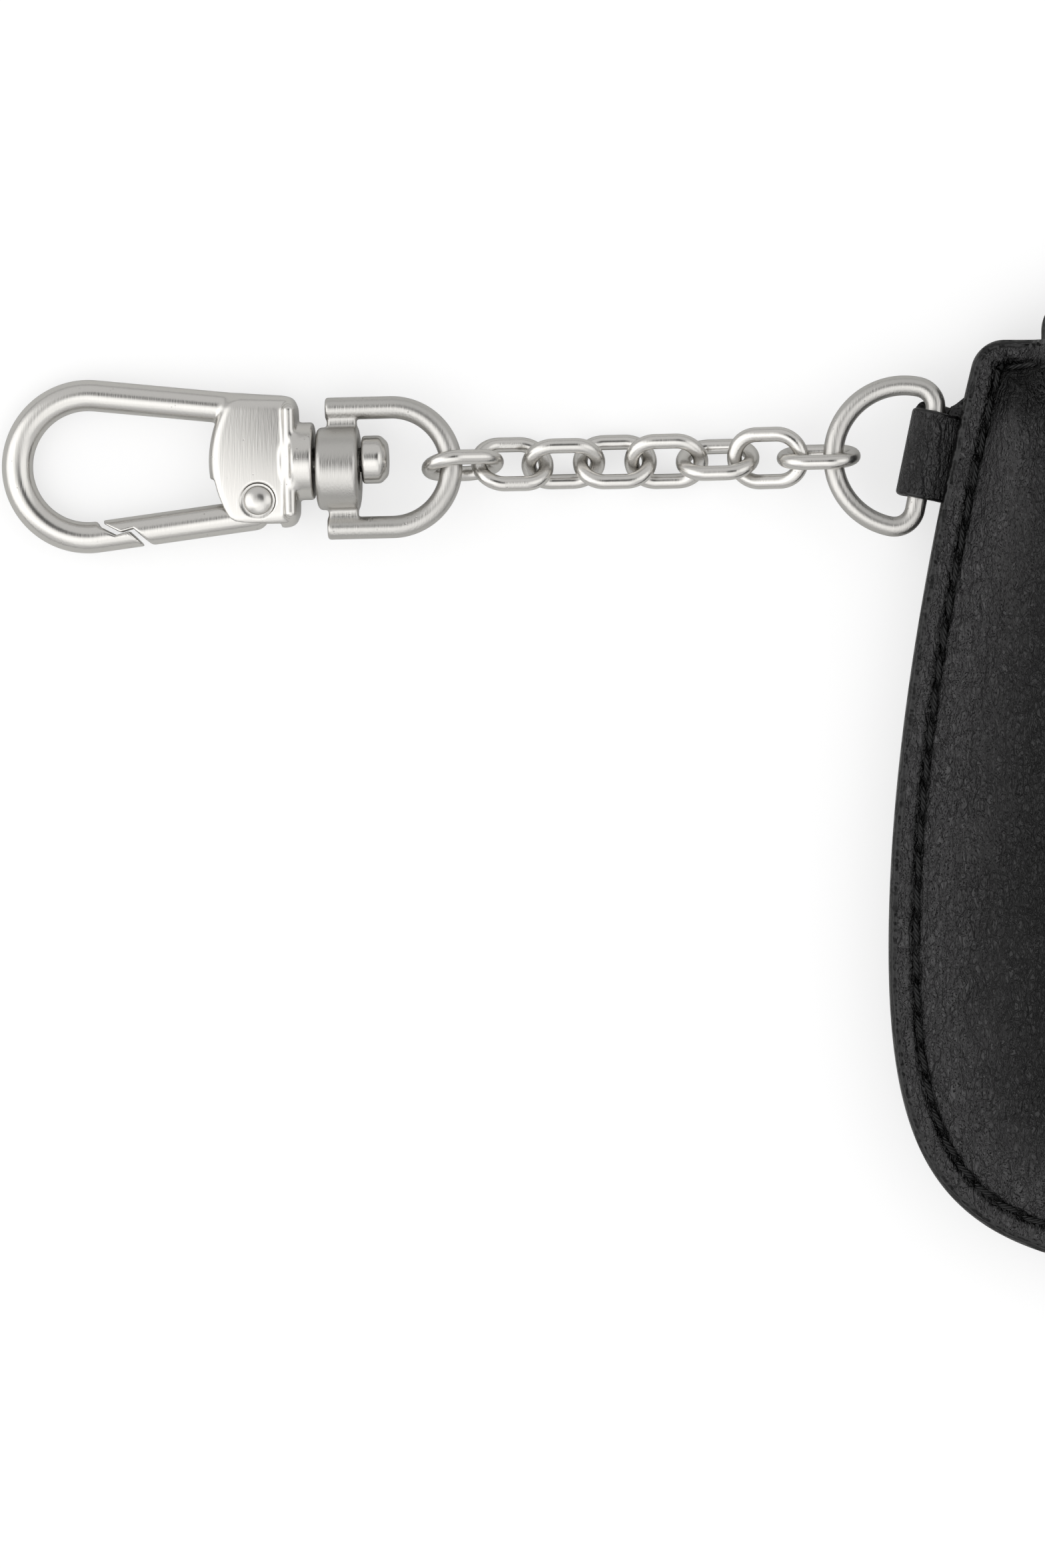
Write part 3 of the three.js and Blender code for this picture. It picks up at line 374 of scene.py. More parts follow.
def to_box(p: Array, low: Sequence[float], high: Sequence[float], rounding: float) -> Array:
    """Signed distance to a box with rounded edges."""
    middle = (np.array(high, p.dtype) + np.array(low, p.dtype)) / 2
    half = (np.array(high, p.dtype) - np.array(low, p.dtype)) / 2 - rounding
    past = np.abs(p - middle) - half
    outside = np.linalg.norm(np.maximum(past, 0.0), axis=-1)
    return outside + np.minimum(past.max(-1), 0.0) - rounding


def to_round_bar(p: Array, radius: float, low: float, high: float, rounding: float) -> Array:
    """Signed distance to a cylinder about the x axis with rounded rims."""
    across = np.hypot(p[..., 1], p[..., 2]) - (radius - rounding)
    along = np.abs(p[..., 0] - (low + high) / 2) - ((high - low) / 2 - rounding)
    outside = np.hypot(np.maximum(across, 0.0), np.maximum(along, 0.0))
    return outside + np.minimum(np.maximum(across, along), 0.0) - rounding


def to_polygon(x: Array, y: Array, corners: Array) -> Array:
    """Signed distance to a polygon of the plane, by its edges and a crossing count."""
    best = np.full(x.shape, np.inf, x.dtype)
    inside = np.zeros(x.shape, bool)
    for (ax, ay), (bx, by) in zip(corners, np.roll(corners, -1, 0)):
        run_x, run_y = bx - ax, by - ay
        share = np.clip(((x - ax) * run_x + (y - ay) * run_y) / (run_x**2 + run_y**2), 0.0, 1.0)
        best = np.minimum(best, (x - ax - share * run_x) ** 2 + (y - ay - share * run_y) ** 2)
        if run_y != 0:
            spans = (ay > y) != (by > y)
            inside ^= spans & (x < ax + (y - ay) * run_x / run_y)
    return np.where(inside, -1.0, 1.0) * np.sqrt(best)


def surface_net(distance: Field, low: Sequence[float], high: Sequence[float], step: float) -> Skin:
    """The zero surface of a distance field as quads.

    Every grid cell that the surface passes through gets one vertex, the mean of where its edges
    are crossed, and every crossed edge gets the quad between its four cells. The vertices then
    slide onto the surface: each moves by minus the distance along the field's gradient.

    Args:
        distance: Signed distance for an array of points, negative inside.
        low: Lowest corner of the space to search.
        high: Highest corner.
        step: Grid spacing.

    Returns:
        The closed skin, in the field's own axes.
    """
    base = np.array(low, float)
    axes = [np.arange(a, b + step, step, dtype=np.float32) for a, b in zip(low, high)]
    value = distance(np.stack(np.meshgrid(*axes, indexing="ij"), -1))
    shape = value.shape
    cell_ids, hits, quads = [], [], []
    for axis in range(3):
        first = np.moveaxis(value, axis, 0)[:-1]
        second = np.moveaxis(value, axis, 0)[1:]
        index = np.argwhere((first < 0) != (second < 0))
        a, b = first[tuple(index.T)], second[tuple(index.T)]
        others = [k for k in range(3) if k != axis]
        corner = np.zeros_like(index)
        corner[:, [axis, *others]] = index
        hit = corner.astype(float)
        hit[:, axis] += a / (a - b)
        ids = []
        for du, dv in ((0, 0), (1, 0), (1, 1), (0, 1)):
            cell = corner.copy()
            cell[:, others[0]] -= du
            cell[:, others[1]] -= dv
            ids.append(np.ravel_multi_index(cell.T, shape))
        quad = np.stack(ids, 1)
        backward = (a < 0) if axis != 1 else (a >= 0)
        quads.append(np.where(backward[:, None], quad[:, ::-1], quad))
        cell_ids.extend(ids)
        hits.extend([hit] * 4)
    ids, where = np.unique(np.concatenate(cell_ids), return_inverse=True)
    spots = np.concatenate(hits)
    count = np.bincount(where)
    points = np.stack([np.bincount(where, spots[:, k]) / count for k in range(3)], 1) * step + base
    for _ in range(2):
        near = distance(points)
        nudge = step * 0.1
        slope = np.stack([distance(points + nudge * np.eye(3)[k]) - near for k in range(3)], 1) / nudge
        steep = np.maximum((slope**2).sum(1, keepdims=True), 0.3)
        points = points - np.clip(near[:, None] * slope / steep, -step, step)
    return Skin(points, np.searchsorted(ids, np.concatenate(quads))).outward()


# --- Finishes -----------------------------------------------------------------------------


class Sheet:
    """A node tree being laid out, with short ways to add and join nodes."""

    def __init__(self, tree: bpy.types.NodeTree) -> None:
        """Keeps the tree."""
        self.tree = tree

    def add(self, kind: str, inputs: dict | None = None, **settings: object) -> bpy.types.Node:
        """Adds a node.

        Args:
            kind: Its type, without the ShaderNode prefix.
            inputs: Values or sockets for its inputs, by name or number.
            settings: Properties to set first.

        Returns:
            The node.
        """
        node = self.tree.nodes.new("ShaderNode" + kind)
        for name, value in settings.items():
            setattr(node, name, value)
        for name, value in (inputs or {}).items():
            if isinstance(value, bpy.types.NodeSocket):
                self.tree.links.new(value, node.inputs[name])
            else:
                node.inputs[name].default_value = value
        return node

    def join(self, value: bpy.types.NodeSocket, node: bpy.types.Node, name: str) -> None:
        """Feeds a value to one of a node's inputs."""
        self.tree.links.new(value, node.inputs[name])

    def math(self, operation: str, *values: object) -> bpy.types.NodeSocket:
        """The result of a Math node on numbers or sockets."""
        node = self.add("Math", dict(enumerate(values)), operation=operation)
        return node.outputs[0]

    def ramp(self, value: bpy.types.NodeSocket, low: float, high: float, out_low: float = 0.0,
             out_high: float = 1.0) -> bpy.types.NodeSocket:
        """A value carried smoothly from one span to another."""
        inputs = {0: value, 1: low, 2: high, 3: out_low, 4: out_high}
        return self.add("MapRange", inputs, interpolation_type="SMOOTHSTEP").outputs[0]

    def mixed(self, share: bpy.types.NodeSocket, first: Sequence[float] | bpy.types.NodeSocket,
              second: Sequence[float]) -> bpy.types.NodeSocket:
        """A colour between two, by a share; the first may be a socket."""
        start = first if isinstance(first, bpy.types.NodeSocket) else (*first, 1.0)
        return self.add("Mix", {0: share, 6: start, 7: (*second, 1.0)}, data_type="RGBA").outputs[2]


class Effect(Enum):
    """Shared effects, each a shader node group that is built once."""

    PEBBLE = "pebble_grain"
    BRUSHED = "brushed_lines"
    WEAVE = "cloth_weave"
    RUBBED = "rubbed_patches"


class Effects:
    """Builds the shared node groups when they are first asked for."""

    @classmethod
    def group(cls, effect: Effect) -> bpy.types.NodeTree:
        """The node group of an effect."""
        found = bpy.data.node_groups.get(effect.value)
        if found is None:
            tree = bpy.data.node_groups.new(effect.value, "ShaderNodeTree")
            found = getattr(cls, "_" + effect.value)(tree)
        return found

    @staticmethod
    def _sockets(tree: bpy.types.NodeTree, numbers: dict[str, float], outputs: Sequence[str]) -> tuple:
        """Gives a group a Vector input, number inputs and value outputs, and its two end nodes."""
        tree.interface.new_socket("Vector", in_out="INPUT", socket_type="NodeSocketVector")
        for name, value in numbers.items():
            socket = tree.interface.new_socket(name, in_out="INPUT", socket_type="NodeSocketFloat")
            socket.default_value = value
        for name in outputs:
            tree.interface.new_socket(name, in_out="OUTPUT", socket_type="NodeSocketFloat")
        return tree.nodes.new("NodeGroupInput"), tree.nodes.new("NodeGroupOutput")

    @classmethod
    def _pebble_grain(cls, tree: bpy.types.NodeTree) -> bpy.types.NodeTree:
        """Round pebbles between fine creases, with small pores; Scale is pebbles per metre."""
        start, end = cls._sockets(tree, {"Scale": 900.0}, ("Height", "Pores"))
        s = Sheet(tree)
        scale = start.outputs["Scale"]
        drift = s.add("TexNoise", {"Vector": start.outputs["Vector"], "Scale": 700.0, "Detail": 2.0})
        bent = s.add("VectorMath", {0: drift.outputs["Color"], 1: (0.0009,) * 3}, operation="MULTIPLY")
        place = s.add("VectorMath", {0: start.outputs["Vector"], 1: bent.outputs[0]}, operation="ADD")
        cells = s.add("TexVoronoi", {"Vector": place.outputs[0], "Scale": scale}, feature="DISTANCE_TO_EDGE")
        pebbles = s.ramp(cells.outputs["Distance"], 0.0, 0.22)
        fine = s.math("MULTIPLY", scale, 2.6)
        dots = s.add("TexVoronoi", {"Vector": place.outputs[0], "Scale": fine}, feature="F1")
        pores = s.ramp(dots.outputs["Distance"], 0.1, 0.32, 1.0, 0.0)
        long = s.add("VectorMath", {0: place.outputs[0], 1: (1.0, 0.5, 1.0)}, operation="MULTIPLY")
        ripples = s.add("TexNoise", {"Vector": long.outputs[0], "Scale": 1500.0, "Detail": 3.0})
        ridges = s.ramp(ripples.outputs["Fac"], 0.36, 0.66)
        raised = s.math("MULTIPLY_ADD", pebbles, 0.3, s.math("MULTIPLY", ridges, 0.85))
        s.join(s.math("MULTIPLY_ADD", pores, -0.45, raised), end, "Height")
        s.join(pores, end, "Pores")
        return tree

    @classmethod
    def _brushed_lines(cls, tree: bpy.types.NodeTree) -> bpy.types.NodeTree:
        """Fine lines along Y of the given vector, broken up along their run."""
        start, end = cls._sockets(tree, {"Scale": 9000.0}, ("Lines", "Pits"))
        s = Sheet(tree)
        vector, scale = start.outputs["Vector"], start.outputs["Scale"]
        along = s.add("VectorMath", {0: vector, 1: (1.0, 0.045, 1.0)}, operation="MULTIPLY")
        lines = s.add("TexNoise", {"Vector": along.outputs[0], "Scale": scale, "Detail": 3.0})
        spots = s.add("TexVoronoi", {"Vector": vector, "Scale": 1500.0}, feature="F1")
        chosen = s.add("TexNoise", {"Vector": vector, "Scale": 600.0})
        pits = s.math("MULTIPLY", s.ramp(spots.outputs["Distance"], 0.04, 0.16, 1.0, 0.0),
                      s.ramp(chosen.outputs["Fac"], 0.52, 0.62))
        s.join(lines.outputs["Fac"], end, "Lines")
        s.join(pits, end, "Pits")
        return tree

    @classmethod
    def _cloth_weave(cls, tree: bpy.types.NodeTree) -> bpy.types.NodeTree:
        """Two crossing sets of yarns; Slant turns a plain weave into a twill."""
        start, end = cls._sockets(tree, {"Yarns": 2600.0, "Slant": 0.0}, ("Height",))
        s = Sheet(tree)
        split = s.add("SeparateXYZ", {0: start.outputs["Vector"]})
        yarns, slant = start.outputs["Yarns"], start.outputs["Slant"]
        across = s.math("MULTIPLY", split.outputs[0], yarns)
        up = s.math("MULTIPLY", s.math("ADD", split.outputs[1], split.outputs[2]), yarns)
        tilted = s.math("MULTIPLY_ADD", slant, up, across)
        warp = s.math("ABSOLUTE", s.math("SINE", tilted))
        weft = s.math("ABSOLUTE", s.math("SINE", up))
        s.join(s.math("MAXIMUM", warp, s.math("MULTIPLY", weft, 0.8)), end, "Height")
        return tree

    @classmethod
    def _rubbed_patches(cls, tree: bpy.types.NodeTree) -> bpy.types.NodeTree:
        """Soft patches where handling has polished a surface."""
        start, end = cls._sockets(tree, {"Scale": 90.0}, ("Amount",))
        s = Sheet(tree)
        vector, scale = start.outputs["Vector"], start.outputs["Scale"]
        wide = s.add("TexNoise", {"Vector": vector, "Scale": scale, "Detail": 5.0})
        s.join(s.ramp(wide.outputs["Fac"], 0.35, 0.7), end, "Amount")
        return tree


@dataclass(frozen=True)
class Finish:
    """A finish that is laid on as a procedural material."""

    name: str
    colour: tuple[float, float, float]
    roughness: float

    def start(self, **sockets: object) -> tuple[bpy.types.Material, Sheet, bpy.types.Node]:
        """A new material with its shader, whose plain sockets are set by name.

        Args:
            sockets: Values for the shader's own sockets, underscores standing for spaces.

        Returns:
            The material, its sheet of nodes and its shader.
        """
        material = bpy.data.materials.new(self.name)
        material.use_nodes = True
        sheet = Sheet(material.node_tree)
        shader = material.node_tree.nodes["Principled BSDF"]
        shader.inputs["Base Color"].default_value = (*self.colour, 1.0)
        shader.inputs["Roughness"].default_value = self.roughness
        for name, value in sockets.items():
            shader.inputs[name.replace("_", " ")].default_value = value
        return material, sheet, shader

    @staticmethod
    def effect(sheet: Sheet, effect: Effect, vector: bpy.types.NodeSocket,
               **numbers: float) -> bpy.types.Node:
        """A shared effect placed in a material, reading the given vector."""
        return sheet.add("Group", {"Vector": vector, **numbers}, node_tree=Effects.group(effect))

    @staticmethod
    def raise_surface(sheet: Sheet, shader: bpy.types.Node, height: bpy.types.NodeSocket,
                      depth: float) -> None:
        """Feeds a height through a Bump node, depth in metres, to the shader's normal."""
        bump = sheet.add("Bump", {"Height": height, "Strength": 1.0, "Distance": depth})
        sheet.join(bump.outputs[0], shader, "Normal")

    def shade(self, share: float) -> tuple[float, ...]:
        """The finish's colour times a share."""
        return tuple(c * share for c in self.colour)


@dataclass(frozen=True)
class LeatherFinish(Finish):
    """Grained leather: pebbles, pores and rubbed patches; painted shade where the skin's attribute
    rises above zero, and a painted highlight, a paler colour, where it falls below zero."""

    pebbles: float = 1900.0
    grain_depth: float = 0.0005
    # A paler colour painted where the leather catches light: a painted highlight.
    painted_highlight_colour: tuple[float, float, float] = (0.044, 0.043, 0.044)

    def build(self) -> bpy.types.Material:
        """Lays the finish on."""
        material, s, shader = self.start(Specular_IOR_Level=0.31)
        place = s.add("TexCoord").outputs["Object"]
        long = s.add("VectorMath", {0: place, 1: (1.0, 0.62, 1.0)}, operation="MULTIPLY").outputs[0]
        grain = self.effect(s, Effect.PEBBLE, long, Scale=self.pebbles)
        rubbed = self.effect(s, Effect.RUBBED, place, Scale=120.0)
        painted_shade_and_highlight = s.add("Attribute", attribute_name="painted_shade_and_highlight").outputs["Fac"]
        dull = s.math("MULTIPLY_ADD", rubbed.outputs["Amount"], -0.1, self.roughness)
        rough = s.math("MULTIPLY_ADD", grain.outputs["Pores"], 0.16, dull)
        s.join(s.math("MULTIPLY_ADD", painted_shade_and_highlight, 0.2, rough), shader, "Roughness")
        dark = self.shade(0.3)
        # Darker colour for the pores, and painted shade where the attribute is above zero.
        share = s.math("MAXIMUM", s.math("MULTIPLY", grain.outputs["Pores"], 0.8), painted_shade_and_highlight)
        # Painted highlight: the colour turns paler where the attribute falls below zero.
        painted_highlight_share = s.math("MULTIPLY", s.ramp(painted_shade_and_highlight, 0.0, -1.0), s.math("SUBTRACT", 1.0, grain.outputs["Pores"]))
        s.join(s.mixed(painted_highlight_share, s.mixed(share, self.colour, dark), self.painted_highlight_colour), shader, "Base Color")
        self.raise_surface(s, shader, grain.outputs["Height"], self.grain_depth)
        return material


@dataclass(frozen=True)
class PaintFinish(Finish):
    """Glossy edge paint, a little wavy, as it dries on cut leather."""

    def build(self) -> bpy.types.Material:
        """Lays the finish on."""
        material, s, shader = self.start(Specular_IOR_Level=0.4)
        place = s.add("TexCoord").outputs["Object"]
        waves = s.add("TexNoise", {"Vector": place, "Scale": 650.0, "Detail": 2.0}).outputs["Fac"]
        rubbed = self.effect(s, Effect.RUBBED, place, Scale=260.0)
        rough = s.math("MULTIPLY_ADD", rubbed.outputs["Amount"], 0.14, self.roughness)
        s.join(rough, shader, "Roughness")
        lighter = self.shade(1.7)
        s.join(s.mixed(rubbed.outputs["Amount"], self.colour, lighter), shader, "Base Color")
        self.raise_surface(s, shader, waves, 0.0006)
        return material


@dataclass(frozen=True)
class MetalFinish(Finish):
    """Satin plate: brush lines, fine pits and rubbed patches."""

    line_depth: float = 0.000012

    def build(self) -> bpy.types.Material:
        """Lays the finish on."""
        material, s, shader = self.start(Metallic=1.0)
        place = s.add("TexCoord").outputs["Object"]
        brushed = self.effect(s, Effect.BRUSHED, place, Scale=7000.0)
        rubbed = self.effect(s, Effect.RUBBED, place, Scale=160.0)
        pits, lines = brushed.outputs["Pits"], brushed.outputs["Lines"]
        rough = s.math("MULTIPLY_ADD", rubbed.outputs["Amount"], -0.05, self.roughness)
        rough = s.math("MULTIPLY_ADD", lines, 0.08, rough)
        s.join(s.math("MULTIPLY_ADD", pits, 0.2, rough), shader, "Roughness")
        dark = self.shade(0.45)
        s.join(s.mixed(s.math("MULTIPLY", pits, 0.6), self.colour, dark), shader, "Base Color")
        height = s.math("MULTIPLY_ADD", pits, -0.8, lines)
        self.raise_surface(s, shader, height, self.line_depth)
        return material


@dataclass(frozen=True)
class ClothFinish(Finish):
    """Woven cloth: yarns that stand up, with a painted highlight on their tops."""

    yarns: float = 5200.0
    slant: float = 0.0

    def build(self) -> bpy.types.Material:
        """Lays the finish on."""
        material, s, shader = self.start(Sheen_Weight=0.25, Sheen_Roughness=0.4)
        place = s.add("TexCoord").outputs["Object"]
        weave = self.effect(s, Effect.WEAVE, place, Yarns=self.yarns, Slant=self.slant)
        rubbed = self.effect(s, Effect.RUBBED, place, Scale=200.0)
        height = weave.outputs["Height"]
        # Painted highlight: yarn tops are given a paler colour.
        painted_crest_highlight = self.shade(2.2)
        s.join(s.mixed(height, self.colour, painted_crest_highlight), shader, "Base Color")
        rough = s.math("MULTIPLY_ADD", rubbed.outputs["Amount"], -0.1, self.roughness)
        s.join(rough, shader, "Roughness")
        self.raise_surface(s, shader, height, 0.00012)
        return material


@dataclass(frozen=True)
class ThreadFinish(Finish):
    """Waxed thread: plies that turn along its length, from its UV map, with a painted highlight on each
    ply's crest.
    """

    plies: float = 3.0

    def build(self) -> bpy.types.Material:
        """Lays the finish on."""
        material, s, shader = self.start(Specular_IOR_Level=0.3)
        split = s.add("SeparateXYZ", {0: s.add("TexCoord").outputs["UV"]})
        turn = s.math("MULTIPLY_ADD", split.outputs[1], 2 * math.pi * self.plies,
                      s.math("MULTIPLY", split.outputs[0], 14.0))
        ply = s.math("ABSOLUTE", s.math("SINE", s.math("MULTIPLY", turn, 0.5)))
        # Painted highlight: each ply's crest is given a paler colour.
        painted_crest_highlight = self.shade(2.0)
        s.join(s.mixed(ply, self.colour, painted_crest_highlight), shader, "Base Color")
        s.join(s.math("MULTIPLY_ADD", ply, -0.1, self.roughness), shader, "Roughness")
        self.raise_surface(s, shader, ply, 0.00014)
        return material


@dataclass(frozen=True)
class FloorFinish(Finish):
    """Pale matt board that glows a little to the camera, which thins its shadows."""

    glow: float = 0.62
    mirrored: float = 0.42

    def build(self) -> bpy.types.Material:
        """Lays the finish on."""
        material, s, shader = self.start(Specular_IOR_Level=0.0, Emission_Strength=1.0)
        place = s.add("TexCoord").outputs["Object"]
        seen = s.add("LightPath").outputs["Is Camera Ray"]
        tone = s.add("TexNoise", {"Vector": place, "Scale": 4.0}).outputs["Fac"]
        shown = s.math("MULTIPLY", s.math("MULTIPLY_ADD", tone, 0.01, 0.99), seen)
        s.join(s.mixed(seen, self.colour, (self.mirrored,) * 3), shader, "Base Color")
        s.join(s.mixed(shown, (0.0,) * 3, (self.glow,) * 3), shader, "Emission Color")
        return material


class Coats:
    """Every coat of the wallet, its materials built once."""

    def __init__(self) -> None:
        """Builds the materials."""
        paint = PaintFinish("black_edge_paint", (0.003, 0.0029, 0.003), 0.22)
        grained = LeatherFinish("black_grained_leather", (0.0024, 0.0023, 0.0025), 0.25)
        strap = LeatherFinish("black_strap_leather", (0.026, 0.0255, 0.026), 0.25)
        nickel = MetalFinish("satin_nickel_plate", (0.66, 0.645, 0.618), 0.2)
        dull = MetalFinish("dull_nickel_plate", (0.56, 0.548, 0.525), 0.28, 0.00003)
        zip_metal = MetalFinish("satin_zip_metal", (0.62, 0.60, 0.57), 0.26)
        spring = MetalFinish("bright_spring_wire", (0.5, 0.51, 0.53), 0.18, 0.000004)
        lining = ClothFinish("black_twill_lining", (0.012, 0.012, 0.014), 0.75, 4200.0, 1.0)
        tape = ClothFinish("black_zip_tape", (0.009, 0.009, 0.010), 0.7, 5600.0)
        thread = ThreadFinish("black_waxed_thread", (0.0045, 0.0045, 0.0046), 0.5)
        leather_material, paint_material = grained.build(), paint.build()
        self.leather = Coat("leather", (leather_material,))
        self.edged_leather = Coat("leather", (leather_material, paint_material))
        self.strap = Coat("leather", (strap.build(), paint_material))
        self.nickel = Coat("satin_nickel", (nickel.build(),))
        self.dull_nickel = Coat("satin_nickel", (dull.build(),))
        self.zip_metal = Coat("zip_metal", (zip_metal.build(),))
        self.spring = Coat("spring_steel", (spring.build(),))
        self.lining = Coat("lining", (lining.build(),))
        self.tape = Coat("tape", (tape.build(),))
        self.thread = Coat("thread", (thread.build(),))


# --- Pouch --------------------------------------------------------------------------------


@dataclass
class Pouch:
    """The two leather panels, their stitches, the linings and the card pocket."""

    coats: Coats
    width: float = 116.0
    height: float = 94.0
    corner_inset: float = 11.5
    corner_radius: float = 3.3
    side_lean: float = 10.4
    widest_below_middle: float = 13.7
    side_bulge: float = 24.0
    base_handle_rise: float = 0.6
    base_handle_inset: float = 12.7
    leather: float = 1.3
    seam_gap: float = 1.5
    seam_height: float = 5.6
    seam_inset: float = 2.7
    seam_flat: float = 3.0
    crown_rise: float = 6.1
    mouth_rise: float = 3.85
    puff_reach: float = 26.0
    back_reach: float = 14.0
    mouth_reach: float = 3.0
    mouth_lift: float = 1.1
    mouth_low: float = 2.0
    puff_power: float = 2.4
    zip_y: float = 40.8
    tape_drop: float = 7.0
    lift_length: float = 14.0
    bead: float = 0.5
    stitch_pitch: float = 3.33
    columns: int = 960
    insets: tuple[float, ...] = (0, 0.04, 0.11, 0.22, 0.36, 0.5, 0.62, 0.8, 1.1, 1.45, 1.8, 2.1, 2.3,
                                 2.5, 2.7, 2.9, 3.1)
    closing: tuple[tuple[int, float], ...] = ((5, 0.005), (15, 0.011), (8, 0.02), (9, 0.065))
    under_rings: tuple[int, ...] = (2, 4, 8, 11, 14, 17, 20, 24, 28, 34, 42, 46)
    tab_bulge: float = 0.22
    groove_width: float = 0.3
    groove_depth: float = 0.14
    hole_width: float = 0.36
    hole_length: float = 0.55
    hole_depth: float = 0.55
    margin_droop: float = 0.4
    thread: float = 0.28
    stitch_points: int = 9
    stitch_sides: int = 8

    def __post_init__(self) -> None:
        """Works out the outline, and its points with the run along it."""
        raw = self._outline()
        self.edge = resampled(raw, self.columns, True)
        self.dense = resampled(raw, 2 * self.columns, True)
        steps = np.linalg.norm(self.dense - np.roll(self.dense, -1, 0), axis=1)
        self.run = np.concatenate([[0.0], np.cumsum(steps)[:-1]])
        self.perimeter = steps.sum()
        corner = self.width / 2 - self.corner_inset
        top = self.dense[:, 1] > self.height / 2 - 0.01
        self.sewn = ~(top & (np.abs(self.dense[:, 0]) < corner))
        self.stitches = round(self.perimeter / self.stitch_pitch)
        bar, _ = joint_place("ring_hinge")
        self.tab_middle = bar[:2]

    def _outline(self) -> Array:
        """The outline from the middle of the top edge, going left, as lines, arcs and curves."""
        half_w, half_h = self.width / 2, self.height / 2
        corner_x = half_w - self.corner_inset
        centre_y = half_h - self.corner_radius
        left_corner = arc((-corner_x, centre_y), self.corner_radius, 90, 180 - self.side_lean, 40)
        low = -self.widest_below_middle
        side = bezier(left_corner[-1], (-half_w, low + self.side_bulge), (-half_w, low))
        base = bezier(
            (-half_w, low), (-half_w, -half_h + self.base_handle_rise),
            (-half_w + self.base_handle_inset, -half_h), (0.0, -half_h), count=120,
        )
        left = np.concatenate([left_corner, side[1:], base[1:]])
        right = (left * np.array([-1.0, 1.0]))[::-1]
        return np.concatenate([[[0.0, half_h]], left, right[1:]])

    def distances(self, points: Array) -> tuple[Array, Array, Array]:
        """For points of the plane: distance to the edge, to its sewn part, and the run there."""
        edge, seam, run = [], [], []
        outline = self.dense.astype(np.float32)
        for part in np.array_split(points.astype(np.float32), max(1, len(points) // 4000)):
            square = ((part[:, None] - outline[None]) ** 2).sum(-1)
            nearest = square.argmin(1)
            edge.append(np.sqrt(square[np.arange(len(part)), nearest]))
            seam.append(np.sqrt(square[:, self.sewn].min(1)))
            run.append(self.run[nearest])
        return np.concatenate(edge), np.concatenate(seam), np.concatenate(run)

    def puff(self, y: Array, seam: Array, reach: float) -> Array:
        """How full the leather is: 1 - (1 - share)^power of the way in from the seam."""
        near = smoothstep(y, self.mouth_low, self.zip_y)
        width = reach + (self.mouth_reach - reach) * near
        share = np.clip((seam - self.seam_flat) / width, 0, 1)
        return 1 - (1 - share) ** self.puff_power

    def front_inner(self, y: Array, seam: Array) -> Array:
        """Height of the front leather's inner face: the seam's, plus the rise times the puff."""
        near = smoothstep(y, self.mouth_low, self.zip_y)
        rise = self.crown_rise + (self.mouth_rise - self.crown_rise) * near
        return self.seam_height + self.seam_gap / 2 + rise * self.puff(y, seam, self.puff_reach)

    def back_inner(self, y: Array, seam: Array) -> Array:
        """Height of the back leather's inner face."""
        level = self.seam_height - self.seam_gap / 2
        start = self.zip_y - self.tape_drop
        lift = self.mouth_lift * smoothstep(y, start - self.lift_length, start)
        return level - (level - self.leather - lift) * self.puff(y, seam, self.back_reach)

    def tab_cover(self, points: Array) -> Array:
        """1 where a panel covers the tab's tail, 0 away from it."""
        away = points - self.tab_middle
        near = 1 - smoothstep(np.abs(away[:, 1] - 0.9), 4.3, 5.9)
        return near * (1 - smoothstep(away[:, 0], 8.0, 10.5))

    def relief(self, points: Array, edge: Array, seam: Array, run: Array) -> tuple[Array, Array]:
        """Height that the work and wear add to a panel's face, and the painted shade and highlight there.

        The stitch line is a groove of bell section with a pit at each needle hole. Puckers fan
        in from the stitches, and long creases run beside them and fade out over the belly.

        Args:
            points: Points of the plane.
            edge: Their distance to the edge.
            seam: Their distance to its sewn part.
            run: The run along the edge where they are nearest to it.

        Returns:
            The added height, and the painted shade and highlight: up to 1 of painted shade in the groove,
            needle holes and corner crease, below 0 of painted highlight beside the stitches and on the
            margin.
        """
        line = bump_at(edge, self.seam_inset, self.groove_width)
        pitch = self.perimeter / self.stitches
        to_hole = np.abs((run / pitch + 0.5) % 1.0 - 0.5) * pitch
        hole = bump_at(edge, self.seam_inset, self.hole_width) * bump_at(to_hole, 0.0, self.hole_length)
        inner = smoothstep(edge, self.seam_inset + 0.2, self.seam_inset + 1.2)
        fade = np.exp(-np.maximum(edge - 5.0, 0) / 5.0)
        puckers = 0.13 * np.cos(2 * np.pi * run / pitch) * inner * np.exp(-np.maximum(edge - 4, 0) / 1.8)
        creases = soft_noise(run / 2.7, edge / 7.0, 11) * 0.2 + soft_noise(run / 1.3, edge / 4.0, 12) * 0.09
        drape = soft_noise(points[:, 0] / 15.0, points[:, 1] / 15.0, 13) * 0.42
        drape += soft_noise(points[:, 0] / 4.0, points[:, 1] / 9.0, 14) * 0.13
        belly = smoothstep(edge, 5.0, 16.0)
        soft = 0.05 * soft_noise(points[:, 0] / 1.4, points[:, 1] / 2.2, 15)
        margin = 0.08 * soft_noise(run / 1.9, edge / 1.0, 16) + 0.05 * soft_noise(run / 0.9, edge / 0.8, 17)
        height = puckers + creases * inner * fade + drape * belly + soft * inner + margin * (1 - inner)
        corner = (self.width / 2 - 12.9, self.height / 2 - 3.9)
        away = np.stack([np.abs(points[:, 0]), points[:, 1]], 1) - corner
        dent = bump_at(np.hypot(away[:, 0] * 0.8, away[:, 1] - 0.3 * away[:, 0]), 0.0, 1.9)
        wander = 1.5 * soft_noise(points[:, 0], points[:, 1], 18)
        folds = 0.5 + 0.5 * np.sin(3.0 * away[:, 0] - 3.9 * away[:, 1] + wander)
